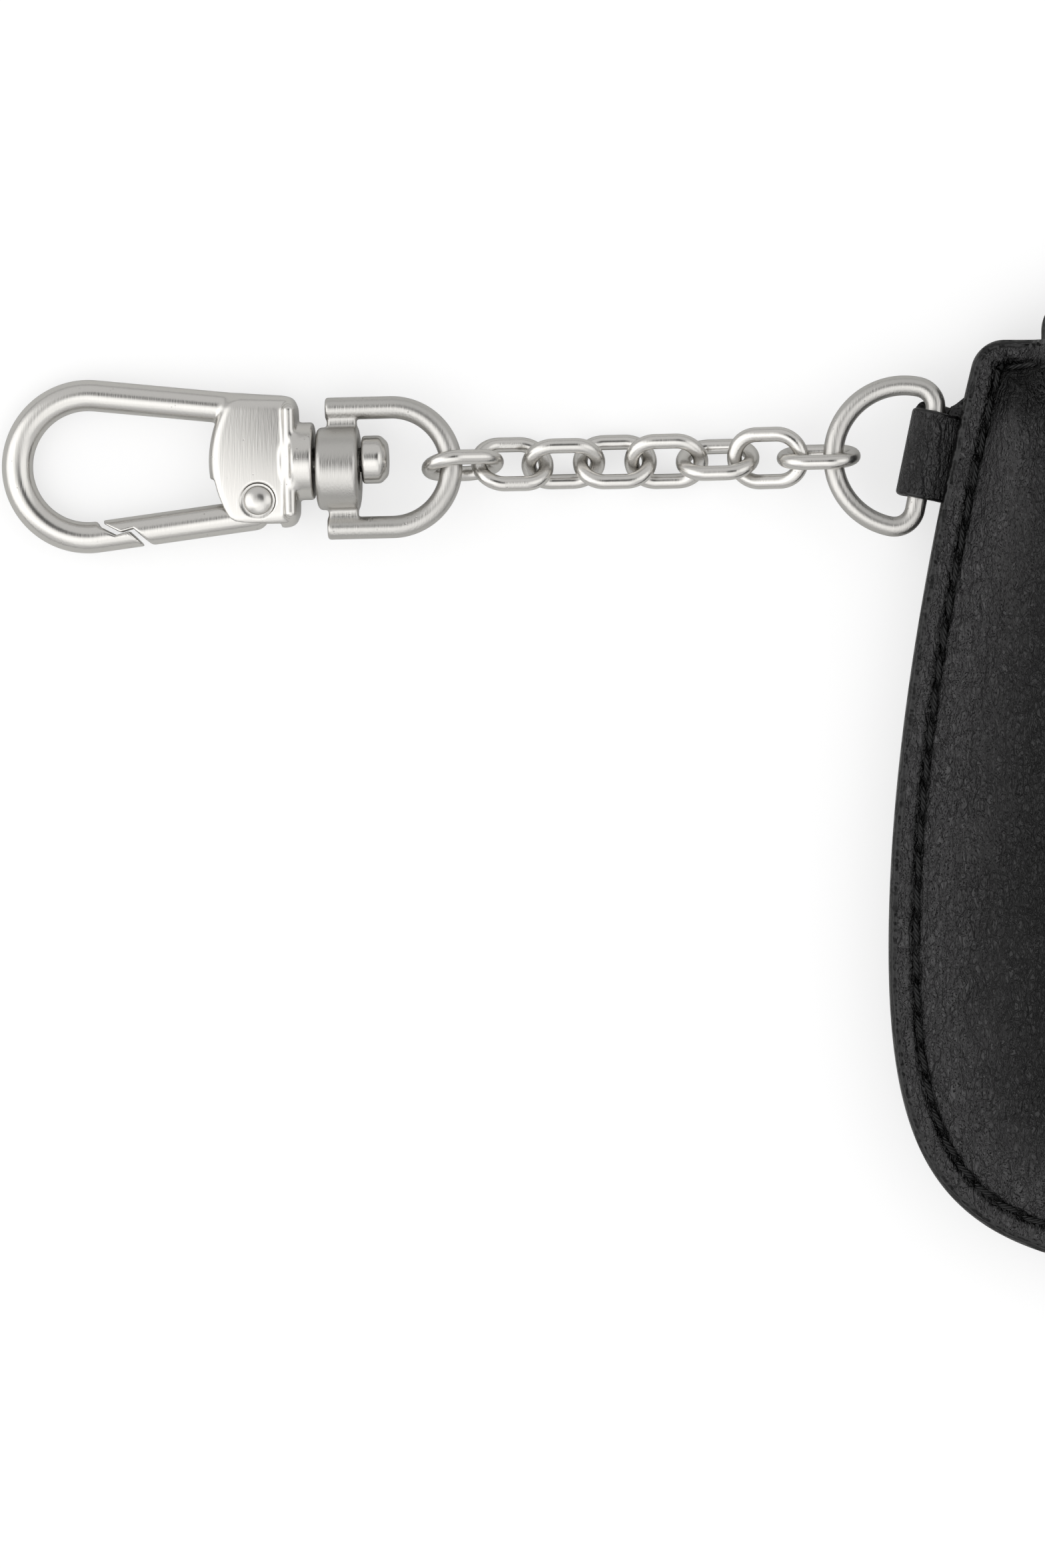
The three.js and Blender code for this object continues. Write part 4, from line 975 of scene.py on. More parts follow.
        height -= self.groove_depth * line + self.hole_depth * hole + dent * (0.3 + 0.65 * folds)
        height -= self.margin_droop * np.clip(1 - edge / self.seam_inset, 0, 1) ** 2
        # Painted highlight: a band just inside the stitches and one on the margin, where the leather catches
        # light.
        painted_highlight_share = smoothstep(edge, self.seam_inset + 0.1, self.seam_inset + 0.6)
        below_zip = smoothstep(self.zip_y - points[:, 1], -2, 5)
        painted_highlight_share *= np.exp(-np.maximum(edge - 5.0, 0) / 5.5) * (1 - dent) * below_zip
        margin_painted_highlight = smoothstep(edge, 0.5, 0.9) * (1 - smoothstep(edge, 1.7, 2.3)) * (1 - dent * folds)
        lit = 0.9 * painted_highlight_share * (1 - line) + 0.95 * margin_painted_highlight
        # Painted shade: the groove, needle holes and corner crease are darkened in colour; the painted
        # highlight counts below zero.
        return height, np.clip(0.25 * line + 1.2 * hole + 0.8 * dent * folds, 0, 1) - lit

    def bead_drop(self, edge: Array) -> Array:
        """How far the face falls at its rim: a quarter circle, with a fine line inside it."""
        share = np.clip(1 - edge / self.bead, 0, 1)
        lines = 0.07 * (bump_at(edge, self.bead + 0.12, 0.1) - bump_at(edge, 0.36, 0.2))
        return self.bead * (1 - np.sqrt(1 - share**2)) + lines

    def rings(self) -> Array:
        """Plane points from the edge inwards: parallel to it as far as the stitches, then closer
        and closer to the middle, each ring a smaller copy of the last."""
        along = np.roll(self.edge, -1, 0) - np.roll(self.edge, 1, 0)
        inward = unit(np.stack([-along[:, 1], along[:, 0]], 1))
        parallel = self.edge[None] + np.array(self.insets)[:, None, None] * inward[None]
        steps = np.concatenate([np.full(count, share) for count, share in self.closing])
        return np.concatenate([parallel, parallel[-1][None] * (1 - np.cumsum(steps))[:, None, None]])

    def panel(self, front: bool) -> Skin:
        """One leather panel as a closed skin: its face, its painted edge and its inner side.

        Args:
            front: True for the front, False for the back.

        Returns:
            The skin; its finish is 0 on leather and 1 on edge paint.
        """
        sign = 1.0 if front else -1.0
        inner_height = self.front_inner if front else self.back_inner
        face = self.rings()
        flat = face.reshape(-1, 2)
        edge, seam, run = self.distances(flat)
        relief, painted_shade_and_highlight = self.relief(flat, edge, seam, run)
        if not front:
            relief = np.minimum(relief * 0.5, 0)
        inner = inner_height(flat[:, 1], seam)
        outer = inner + sign * (self.leather + relief - self.bead_drop(edge))
        outer += sign * self.tab_bulge * self.tab_cover(flat) * smoothstep(edge, 0.0, 1.5)
        if not front:
            outer = np.maximum(outer, 0.0)
        count = self.columns
        closed = 1 - smoothstep(seam, 2.0, 3.5)

        def under(ring: int) -> Array:
            """Height of the panel's inner side over one of its rings."""
            part = slice(ring * count, (ring + 1) * count)
            cover = self.seam_height + sign * (0.03 + 0.47 * self.tab_cover(flat[part]))
            return inner[part] + (cover - inner[part]) * closed[part]

        rim = outer[:count]
        foot = under(0)
        wall = [foot + (rim - foot) * share for share in (0.45, 0.75)]
        face_rows = np.concatenate([face, outer.reshape(len(face), count)[..., None]], 2)
        rows = [face_rows[i] for i in range(len(face) - 1, -1, -1)]
        edge_rows = [np.column_stack([self.edge, level]) for level in wall[::-1]]
        edge_rows.append(np.column_stack([self.edge, foot + (rim - foot) * 0.16]))
        below = (*self.under_rings, len(face) - 1)
        under_rows = [np.column_stack([face[ring], under(ring)]) for ring in below]
        grid = np.stack(rows + edge_rows + under_rows)
        skin = with_poles(grid)
        painted = np.zeros(grid.shape[0] - 1, int)
        first = len(rows) - 8
        painted[first:len(rows) + len(edge_rows) + 1] = 1
        skin.quad_finish = np.repeat(painted, count)
        # Painted shade and highlight on the face's rows only.
        painted_shade_and_highlight_rows = np.zeros(grid.shape[:2])
        painted_shade_and_highlight_rows[: len(rows)] = painted_shade_and_highlight.reshape(len(face), count)[::-1]
        skin.painted_shade_and_highlight = np.concatenate([painted_shade_and_highlight_rows.ravel(), [0.0, 0.0]])
        return skin.outward()

    def build_panels(self) -> None:
        """Makes both panels."""
        for front, name in ((True, "front_panel"), (False, "back_panel")):
            skin = self.panel(front)
            made = Workshop.piece(f"{name}_leather", skin, "wallet", self.coats.edged_leather, name)

    def stitch_skin(self, front: bool) -> Skin:
        """All stitches of one face as slanted, twisted capsules that dive into their holes.

        A stitch is centre(t) + radius(t) (cos a side + sin a rise), with t along it: its height
        is an arch, its middle line slants across the seam, and its radius bulges with the ply.
        """
        sign = 1.0 if front else -1.0
        pitch = self.perimeter / self.stitches
        t = np.linspace(-1, 1, self.stitch_points)
        angle = np.linspace(0, 2 * np.pi, self.stitch_sides, endpoint=False)
        runs = (np.arange(self.stitches) + 0.5)[:, None] * pitch + t[None] * pitch * 0.44
        along = np.roll(self.dense, -1, 0) - np.roll(self.dense, 1, 0)
        inward = unit(np.stack([-along[:, 1], along[:, 0]], 1))
        line = self.dense + inward * self.seam_inset
        spots = np.stack([np.interp(runs % self.perimeter, self.run, line[:, k]) for k in (0, 1)], -1)
        side = np.stack([np.interp(runs % self.perimeter, self.run, inward[:, k]) for k in (0, 1)], -1)
        spots = spots + side * (0.17 * t)[None, :, None]
        _, seam, _ = self.distances(spots.reshape(-1, 2))
        seam = seam.reshape(spots.shape[:2])
        inner = (self.front_inner if front else self.back_inner)(spots[..., 1], seam)
        arch = 0.16 - self.groove_depth - 0.62 * t[None] ** 4
        cover = self.tab_cover(spots.reshape(-1, 2)).reshape(seam.shape)
        level = inner + sign * (self.leather + self.tab_bulge * cover + arch)
        if not front:
            level = np.maximum(level, 0.33)
        centre = np.concatenate([spots, level[..., None]], -1)
        radius = self.thread * np.sqrt(np.maximum(1 - 0.8 * t**4, 0.05))
        across = np.concatenate([side, np.zeros((*side.shape[:2], 1))], -1)
        twist = 1 + 0.1 * np.cos(3 * angle[None] - 6.0 * t[:, None])
        ring = (np.cos(angle)[None, None, :, None] * across[:, :, None]
                + np.sin(angle)[None, None, :, None] * np.array([0.0, 0.0, 0.85]))
        grid = centre[:, :, None] + (radius[:, None] * twist)[None, :, :, None] * ring
        one = grid_quads(self.stitch_points, self.stitch_sides, False, True)
        count, each = self.stitches, self.stitch_points * self.stitch_sides
        offsets = np.arange(count)[:, None, None] * each
        ends = np.array([[0, 1, 2, 3], [0, 3, 4, 7], [4, 5, 6, 7]])
        caps = np.concatenate([ends[:, ::-1], ends + each - self.stitch_sides])
        quads = (np.concatenate([one, caps])[None] + offsets).reshape(-1, 4)
        uv = np.stack(np.broadcast_arrays(t[:, None], angle[None] / (2 * np.pi)), -1).reshape(-1, 2)
        return Skin(grid.reshape(-1, 3), quads, uv=np.tile(uv, (count, 1))).outward()

    def build_stitches(self) -> None:
        """Makes the stitches of both faces."""
        for front, word in ((True, "front"), (False, "back")):
            skin = self.stitch_skin(front)
            Workshop.piece(f"{word}_stitches", skin, "wallet", self.coats.thread, f"{word}_thread")

    def patch(self, outline: Array, low: Callable[[Array, Array], Array], thickness: float,
              steps: int = 16) -> Skin:
        """A thin layer that follows a height, drawn as shrinking copies of an outline.

        Args:
            outline: The layer's edge in the plane, a convex loop.
            low: Height of its lower side for (y, distance to the seam).
            thickness: From its lower to its upper side.
            steps: Rings on each side.

        Returns:
            The closed skin.
        """
        middle = outline.mean(0)
        share = np.linspace(0.02, 1.0, steps) ** 0.6
        rings = middle + (outline[None] - middle) * share[:, None, None]
        flat = rings.reshape(-1, 2)
        _, seam, _ = self.distances(flat)
        level = low(flat[:, 1], seam).reshape(rings.shape[:2])
        top = np.concatenate([rings, (level + thickness)[..., None]], 2)
        bottom = np.concatenate([rings, level[..., None]], 2)[::-1]
        rim = outline + (outline - middle) * 0.002
        half = np.concatenate([rim, (level[-1] + thickness / 2)[:, None]], 1)
        return with_poles(np.concatenate([top, half[None], bottom])).outward()

    def build_linings(self) -> None:
        """Makes the two linings and the card pocket, at the heights of their CAD nodes."""
        _, high = node_box("front_lining")
        inset = self.edge * (1 - 4.9 / (self.width / 2))
        outline = resampled(np.minimum(inset, [np.inf, high[1]]), 240, True)
        clear, cloth = 0.5, 0.4
        front = self.patch(outline, lambda y, seam: self.front_inner(y, seam) - clear - cloth, cloth)
        back = self.patch(outline, lambda y, seam: self.back_inner(y, seam) + clear, cloth)
        Workshop.piece("front_lining_cloth", front, "wallet", self.coats.lining, "front_lining")
        Workshop.piece("back_lining_cloth", back, "wallet", self.coats.lining, "back_lining")
        low, high = node_box("card_pocket")
        corner = 9.0
        pocket = np.concatenate([
            [[high[0], high[1]], [low[0], high[1]]],
            arc((low[0] + corner, low[1] + corner), corner, 180, 270, 16),
            arc((high[0] - corner, low[1] + corner), corner, 270, 360, 16),
        ])
        lift = clear + cloth + 0.3
        skin = self.patch(resampled(pocket, 240, True), lambda y, seam: self.back_inner(y, seam) + lift, 0.8)
        Workshop.piece("card_pocket_leather", skin, "wallet", self.coats.leather, "card_pocket")

    def build(self) -> None:
        """Makes the whole pouch."""
        self.build_panels()
        self.build_stitches()
        self.build_linings()


# --- Zip ----------------------------------------------------------------------------------


@dataclass
class Zip:
    """Tapes with their cords, clamped teeth, stops, the slider and its leather pull."""

    coats: Coats
    tooth_pitch: float = 2.8
    tooth_width: float = 1.3
    end_gap: float = 0.3
    slit: float = 1.5
    tooth_reach: float = 1.0
    cord: float = 0.8
    tape: float = 0.5
    mouth_room: float = 7.2
    tape_drop: float = 7.0

    def __post_init__(self) -> None:
        """Finds the track's middle and its ends from the CAD's rows of teeth."""
        low_front, high_front = node_box("zip_teeth_front")
        low_back, _ = node_box("zip_teeth_back")
        self.half = high_front[0]
        self.thickness = high_front[1] - low_front[1]
        self.middle = np.array([0.0, (low_front[1] + high_front[1]) / 2, (low_back[2] + high_front[2]) / 2])

    def tooth_row(self, side: float) -> Skin:
        """A row of teeth, each a rounded box |x/a|^4 + |y/b|^4 + |z/c|^4 = 1, waisted at the cord."""
        u = np.linspace(0, 2 * np.pi, 12, endpoint=False)
        v = np.linspace(-0.46, 0.46, 6) * np.pi

        def power(value: Array) -> Array:
            """The value's root, which squares the section, with its sign kept."""
            return np.sign(value) * np.abs(value) ** 0.5

        root = self.slit / 2 + self.tooth_reach + self.cord - 0.12
        tip = self.slit / 2
        x = power(np.cos(v))[:, None] * power(np.cos(u))[None] * self.tooth_width / 2
        y = power(np.cos(v))[:, None] * power(np.sin(u))[None] * self.thickness / 2
        z = (power(np.sin(v))[:, None] * (root - tip) / 2 + (root + tip) / 2) + 0 * u[None]
        y = y * (1 - 0.22 * bump_at(z, tip + 0.75, 0.3))
        shift = 0.0 if side > 0 else self.tooth_pitch / 2
        starts = np.arange(-self.half + self.end_gap + shift, self.half - self.tooth_width, self.tooth_pitch)
        teeth = []
        for start in starts:
            grid = np.stack([x + start + self.tooth_width / 2, y, z * side], -1) + self.middle
            teeth.append(with_poles(grid).outward())
        return joined(teeth)

    def tape_skin(self, side: float) -> Skin:
        """A tape: a thin strip that comes out from the cord, turns down on a bend and hangs."""
        outer = self.mouth_room / 2 - self.tape / 2
        start = self.slit / 2 + self.tooth_reach + self.cord + 0.15
        bend = 0.45
        line = np.concatenate([
            [[start, 0.0]], arc((outer - bend, -bend), bend, 90, 0, 9), [[outer, -self.tape_drop / 2]],
            [[outer, -self.tape_drop + self.tape / 2]],
        ])
        line = resampled(line, 36, False)
        along = unit(np.gradient(line, axis=0))
        square = np.stack([-along[:, 1], along[:, 0]], 1) * self.tape / 2
        nose = line[-1] + along[-1] * self.tape / 2
        loop = np.concatenate([line + square, nose[None], (line - square)[::-1]])
        x = np.linspace(-self.half, self.half, 60)
        profile = np.stack([0 * loop[:, 0], loop[:, 1], side * loop[:, 0]], 1)
        grid = profile[None] + np.array([1.0, 0, 0]) * x[:, None, None] + self.middle
        return with_poles(grid).outward()

    def build_track(self) -> None:
        """Makes the rows, cords, tapes and stops."""
        for side, word in ((1.0, "front"), (-1.0, "back")):
            node = f"zip_teeth_{word}"
            Workshop.piece(f"{node}_row", self.tooth_row(side), "wallet", self.coats.zip_metal, node)
            centre = self.slit / 2 + self.tooth_reach + self.cord / 2 + 0.08
            x = np.linspace(-self.half + 0.4, self.half - 0.4, 160)
            path = self.middle + np.stack([x, 0 * x, 0 * x + side * centre], 1)
            radius = 0.42 + 0.02 * np.cos(2 * np.pi * x / 0.9)
            cord = swept(path, radius, 10, False, (0, 1, 0))
            Workshop.piece(f"zip_cord_{word}", cord, "wallet", self.coats.tape)
            tape = f"zip_tape_{word}"
            Workshop.piece(f"{tape}_cloth", self.tape_skin(side), "wallet", self.coats.tape, tape)
        for word in ("left", "right"):
            node = f"zip_stop_{word}"
            low, high = node_box(node)
            skin = surface_net(lambda p: to_box(p, low, high, 0.5), low - 0.3, high + 0.3, 0.12)
            Workshop.piece(f"{node}_clip", skin, "wallet", self.coats.zip_metal, node)

    def slider_field(self, low: Array, high: Array) -> Field:
        """Distance to the slider: two plates with turned-in flanges, a post and an arched bridge."""
        middle = (low + high) / 2
        length, depth = high[0] - low[0], high[2] - low[2]
        plate, bar = 0.7, 0.9
        track = self.middle[1]
        gap = self.thickness / 2 + self.end_gap

        def distance(p: Array) -> Array:
            """Signed distance for points of the wallet's frame."""
            q = p - np.array([middle[0], track, middle[2]], p.dtype)
            narrowing = 1 - smoothstep(q[..., 0], -length / 2, -length / 2 + 2.4)
            rim = np.abs(q[..., 2]) - (depth / 2 - 0.9 * narrowing)
            ends = np.abs(q[..., 0]) - length / 2
            outline = blend_max(rim, ends, 0.9)
            level = np.abs(np.abs(q[..., 1]) - (gap + plate / 2)) - plate / 2
            plates = blend_max(outline, level, 0.3)
            post = to_box(q, (-1.2, -gap - 0.2, -0.4), (1.2, gap + 0.2, 0.4), 0.2)
            foot = gap + plate - 0.2
            top = high[1] - track - bar / 2
            arch = 2.55
            legs = np.minimum(
                to_segment(q, (-arch, foot, 0), (-arch, top - 0.5, 0)),
                to_segment(q, (arch, foot, 0), (arch, top - 0.5, 0)),
            )
            beam = to_segment(q, (-arch + 0.5, top, 0), (arch - 0.5, top, 0))
            joins = np.minimum(
                to_segment(q, (-arch, top - 0.5, 0), (-arch + 0.5, top, 0)),
                to_segment(q, (arch, top - 0.5, 0), (arch - 0.5, top, 0)),
            )
            bridge = np.minimum(np.minimum(legs, beam), joins) - bar / 2
            return blend_min(blend_min(plates, post, 0.3), bridge, 0.5)

        return distance

    def build_slider(self) -> None:
        """Makes the slider, the pull's ring and the leather pull."""
        low, high = node_box("zip_slider")
        skin = surface_net(self.slider_field(low, high), low - 0.3, high + 0.3, 0.1)
        Workshop.piece("zip_slider_body", skin, "slider", self.coats.zip_metal, "zip_slider")
        low, high = node_box("pull_ring")
        wire = (high[0] - low[0]) / 2
        centre = (low + high) / 2
        radius = (high[1] - low[1]) / 2 - wire
        loop = arc((centre[1], centre[2]), radius, 0, 360, 65)[:-1]
        path = np.column_stack([np.full(64, centre[0]), loop])
        ring = swept(path, wire, 14, True, (1, 0, 0))
        Workshop.piece("pull_ring_wire", ring, "pull", self.coats.zip_metal, "pull_ring")
        self.build_pull(centre[1] + radius)

    def build_pull(self, ring_top: float) -> None:
        """Makes the leather pull: a rounded tongue with painted edges, a hole and a shallow groove inside
        its edge.
        """
        low, high = node_box("leather_pull")
        middle = (low + high) / 2
        corner, hole, thickness = 3.6, 1.3, high[2] - low[2]
        hole_y = ring_top + hole - 0.95

        def distance(p: Array) -> Array:
            """Signed distance: the outline's prism with soft faces, less the hole."""
            x, y = np.abs(p[..., 0] - middle[0]), p[..., 1]
            half = (high[0] - low[0]) / 2
            cx, cy = np.maximum(x - (half - corner), 0), np.maximum(y - (high[1] - corner), 0)
            outline = np.maximum(np.hypot(cx, cy) - corner, np.maximum(x - half, low[1] - y))
            dip = 0.12 * bump_at(outline, -0.95, 0.2)
            swell = 0.12 * smoothstep(-outline, 0.9, 2.4)
            faces = np.abs(p[..., 2] - middle[2]) - (thickness / 2 - 0.12 - dip + swell)
            body = blend_max(outline, faces, 0.7)
            eye = hole - np.hypot(x, y - hole_y)
            return blend_max(body, eye, 0.3)

        skin = surface_net(distance, low - 0.4, high + 0.4, 0.13)
        mid = skin.points[skin.quads].mean(1)
        x, y = np.abs(mid[:, 0] - middle[0]), mid[:, 1]
        half = (high[0] - low[0]) / 2
        reach = np.hypot(np.maximum(x - half + corner, 0), np.maximum(y - high[1] + corner, 0))
        band = 0.42
        rim = (reach > corner - band) | (x > half - band) | (y < low[1] + band)
        rim |= np.hypot(x, y - hole_y) < hole + 0.25
        skin.quad_finish = rim.astype(int)
        Workshop.piece("leather_pull_tongue", skin, "pull", self.coats.edged_leather, "leather_pull")

    def build(self) -> None:
        """Makes the whole zip."""
        self.build_track()
        self.build_slider()


# --- Tab, ring and chain ------------------------------------------------------------------


@dataclass
class SideTab:
    """The folded strap and the D-ring that it holds."""

    coats: Coats
    lean: float = 11.6
    ring_wire: float = 1.0
    corner: float = 2.1
    half_height: float = 7.1
    strap: float = 1.0
    bore: float = 1.25
    strap_width: float = 8.8
    rise: float = 0.6
    tail_half: float = 0.45
    tail: float = 5.8

    def __post_init__(self) -> None:
        """Finds the bar, and the ring's own plane from its CAD node."""
        self.bar, axis = joint_place("ring_hinge")
        axis = axis * np.sign(axis[1])
        away = node_points("d_ring").mean(0) - self.bar
        self.ring = Axes.from_two(self.bar, -away, np.cross(-away, axis))
        lean = math.radians(self.lean)
        across = np.array([math.cos(lean), -math.sin(lean), 0.0])
        self.tab = Axes.from_two(self.bar, across, (0, 0, 1))

    def ring_path(self) -> Array:
        """The ring's centre line: the bar, two tight corners and a wide bow, 240 points."""
        straight = self.half_height - self.corner
        line = np.concatenate([
            [[0.0, -straight], [0.0, straight]],
            arc((-self.corner, straight), self.corner, 0, 90, 12)[1:],
            arc((-self.corner, 0), self.half_height, 90, 270, 60)[1:],
            arc((-self.corner, -straight), self.corner, 270, 360, 12)[1:-1],
        ])
        return self.ring.out(in_space(resampled(line, 240, True)))

    def build_ring(self) -> None:
        """Makes the D-ring."""
        skin = swept(self.ring_path(), self.ring_wire, 24, True, self.ring.z)
        Workshop.piece("d_ring_wire", skin, "ring", self.coats.dull_nickel, "d_ring")

    def strap_field(self, p: Array) -> Array:
        """Distance to the strap: a bent wall round the bar that narrows to a flat tail."""
        x, y, z = p[..., 0], p[..., 1] - self.rise, p[..., 2]
        outer = self.bore + self.strap
        fold = np.hypot(x, z) - outer
        tail = np.maximum(np.abs(z) - self.tail_half, np.maximum(x - self.tail, -x))
        neck_half = self.tail_half + (outer * 0.9 - self.tail_half) * (1 - smoothstep(x, 0.2, 3.4))
        neck = np.maximum(np.abs(z) - neck_half, np.maximum(x - 3.4, 0.1 - x)) * 0.8
        body = np.minimum(blend_min(fold, neck, 0.5), tail)
        body = blend_max(body, self.bore - np.hypot(x, z), 0.15)
        waist = 0.06 * soft_noise(x / 1.1 + 9, z / 1.1 + y * 0.05, 21)
        behind = 1 - smoothstep(z, -1.6, -0.7)
        gusset = 0.9 * smoothstep(x, 1.15, 1.5) + 1.3 * smoothstep(x, 1.4, 3.0)
        gusset *= 1 - smoothstep(z, 0.0, 0.5)
        above = y - self.strap_width / 2 - waist - np.maximum(0.8 * behind, gusset) * (y > 0)
        below = -y - self.strap_width / 2 - waist
        return blend_max(body, np.maximum(above, below), 0.45)

    def build_strap(self) -> None:
        """Makes the tab, with its two long edges painted."""
        outer = self.bore + self.strap + 0.3
        half = self.strap_width / 2 + 0.4
        low = (-outer, self.rise - half, -outer)
        high = (self.tail + 0.3, self.rise + half + 2.2, outer)
        skin = surface_net(self.strap_field, low, high, 0.11)
        mid = skin.points[skin.quads].mean(1)
        skin.quad_finish = (np.abs(mid[:, 1] - self.rise) > self.strap_width / 2 - 0.3).astype(int)
        skin.points = self.tab.out(skin.points)
        Workshop.piece("side_tab_strap", skin, "wallet", self.coats.strap, "side_tab")

    def build(self) -> None:
        """Makes the ring and the strap."""
        self.build_ring()
        self.build_strap()


@dataclass
class Chain:
    """The cable links between the ring and the swivel."""

    coats: Coats
    links: int = 8
    length: float = 8.4
    width: float = 6.33
    wire: float = 0.75

    def link_skin(self, node: str) -> Skin:
        """One link: a round wire along two straights and two half circles.

        Its axes are the CAD node's own: long, then wide, then thin, by how its points spread.
        """
        points = node_points(node)
        middle = points.mean(0)
        _, _, spread = np.linalg.svd(points - middle, full_matrices=False)
        place = Axes.from_two((node_box(node)[0] + node_box(node)[1]) / 2, spread[0], spread[2])
        radius = self.width / 2 - self.wire
        side = self.length / 2 - self.wire - radius
        line = np.concatenate([arc((side, 0), radius, -90, 90, 40), arc((-side, 0), radius, 90, 270, 40)])
        return swept(place.out(in_space(resampled(line, 128, True))), self.wire, 20, True, place.z)

    def build(self) -> None:
        """Makes every link on its own body."""
        for number in range(self.links, 0, -1):
            node = f"chain_link_{number}"
            Workshop.piece(f"{node}_wire", self.link_skin(node), f"link_{number}", self.coats.nickel, node)


# --- Swivel and hook ----------------------------------------------------------------------


@dataclass
class SnapHook:
    """The bail with its hub, the hook's casting, the gate, its rivet and its spring."""

    coats: Coats
    play: float = 0.8
    hub_radius: float = 4.13
    hub_length: float = 4.2
    hub_bore: float = 2.15
    bail_wire: float = 1.12
    bail_half: float = 5.97
    bail_tip: float = 11.27
    bail_end: float = -1.2
    web: float = 3.1
    shank: float = 1.2
    head_radius: float = 2.4
    head_length: float = 2.6
    gap: float = 0.3
    collar_radius: float = 3.87
    collar_length: float = 3.3
    wire: float = 1.56
    loop_x: float = -25.1
    loop_radius: float = 7.1
    arm_lean: float = 6.65
    block_left: float = -12.9
    block_right: float = -4.0
    block_half: float = 6.9
    block_depth: float = 2.75
    block_bulge: float = 2.1
    pivot: tuple[float, float] = (-7.96, -3.82)
    pivot_radius: float = 0.9
    eye: float = 1.9
    rivet_head: float = 1.45
    recess: float = 0.5
    spring_wire: float = 0.18
    voxel: float = 0.13

    def __post_init__(self) -> None:
        """Finds the hook's axes from the swivel's and the gate's joints."""
        origin, along = joint_place("hook_swivel")
        _, gate_axis = joint_place("gate_hinge")
        self.hook = Axes.from_two(origin, along, -gate_axis)
        self.hub = self.hook.moved(0, -self.play, 0)

    # Bail and hub

    def bail_field(self, p: Array) -> Array:
        """Distance to the bail's wire joined to the hub by two webs, less the loose bore."""
        x, y, z = p[..., 0], np.abs(p[..., 1]), p[..., 2]
        bend = self.bail_tip - self.bail_half
        bow = np.hypot(np.hypot(x - bend, y) - self.bail_half, z)
        folded = np.stack([x, y, z], -1)
        end = self.bail_end
        arm = to_segment(folded, (end, self.bail_half, 0), (bend, self.bail_half, 0))
        wire = np.where(x > bend, bow, arm) - self.bail_wire
        wire = blend_max(wire, end - x, 0.35)
        hub = to_round_bar(p, self.hub_radius, -self.hub_length / 2, self.hub_length / 2, 0.55)
        thick = self.bail_wire * 0.62
        web_low = (end + 0.15, self.hub_radius - 1.4, -thick)
        web = to_box(folded, web_low, (end + self.web, self.bail_half, thick), 0.3)
        solid = blend_min(blend_min(wire, web, 0.3), hub, 0.4)
        bore = to_round_bar(p, self.hub_bore, -self.hub_length, self.hub_length, 0.05)
        return blend_max(solid, -bore, 0.45)

    def build_bail(self) -> None:
        """Makes the bail and hub."""
        reach = self.bail_half + self.bail_wire + 0.3
        low = (-self.hub_length / 2 - 0.3, -reach, -self.hub_radius - 0.3)
        high = (self.bail_tip + self.bail_wire + 0.3, reach, self.hub_radius + 0.3)
        skin = surface_net(self.bail_field, low, high, self.voxel)
        skin.points = self.hub.out(skin.points)
        Workshop.piece("swivel_bail_casting", skin, "bail", self.coats.dull_nickel, "swivel_bail")

    # Hook

    def arm_y(self, x: float | Array) -> float | Array:
        """Distance of an arm's centre line from the hook's middle: it closes towards the block."""
        lean = math.radians(self.arm_lean)
        start_x = self.loop_x + self.loop_radius * math.sin(lean)
        return self.loop_radius * math.cos(lean) - (x - start_x) * math.tan(lean)

    def lap(self, x: Array, y: Array, gap: float) -> Array:
        """Signed distance to the region right of the cut between nose and gate."""
        centre = self.loop_x
        steps = (
            (0.3, self.wire + 1), (1.1, self.wire * 0.6), (2.7, -0.1), (4.0, 0.1), (5.6, -self.wire),
            (6.6, -self.wire - 1),
        )
        corners = [(centre + a + gap, -self.arm_y(centre + a) + b + gap * 0.6) for a, b in steps]
        corners += [(self.block_right, -2 * self.loop_radius), (self.block_right, 0.0)]
        return to_polygon(x, y, np.array(corners))

    def wire_field(self, p: Array) -> Array:
        """Distance to the loop's wire: the bow round the loop, then the two straight arms."""
        lean = math.radians(self.arm_lean)
        x, y, z = p[..., 0], np.abs(p[..., 1]), p[..., 2]
        tip_x = self.loop_x + self.loop_radius * math.sin(lean)
        bow = np.hypot(np.hypot(x - self.loop_x, y) - self.loop_radius, z)
        end = self.block_right - 2
        folded = np.stack([x, y, z], -1)
        arm = to_segment(folded, (tip_x, self.arm_y(tip_x), 0), (end, self.arm_y(end), 0))
        on_bow = (x - self.loop_x) * math.cos(lean) < y * math.sin(lean)
        return np.where(on_bow, bow, arm) - self.wire

    def block_field(self, p: Array) -> Array:
        """Distance to the block: planes above, below and behind, a bowed front and crowned faces."""
        x, y, z = p[..., 0], p[..., 1], p[..., 2]
        share = y / self.block_half
        front = self.block_left + self.block_bulge * share**2 - x
        taper = 0.4 * np.clip((x - self.block_left) / (self.block_right - self.block_left), 0, 1)
        sides = np.abs(y) - (self.block_half - taper)
        back = x - self.block_right
        crown = 0.6 * ((x - self.block_right) / (self.block_left - self.block_right)) ** 2 + 0.5 * share**2
        faces = np.abs(z) - (self.block_depth - crown)
        rolled = blend_max(faces, front, 1.2)
        rolled = blend_max(rolled, sides, 1.5)
        return blend_max(rolled, back, 1.4)

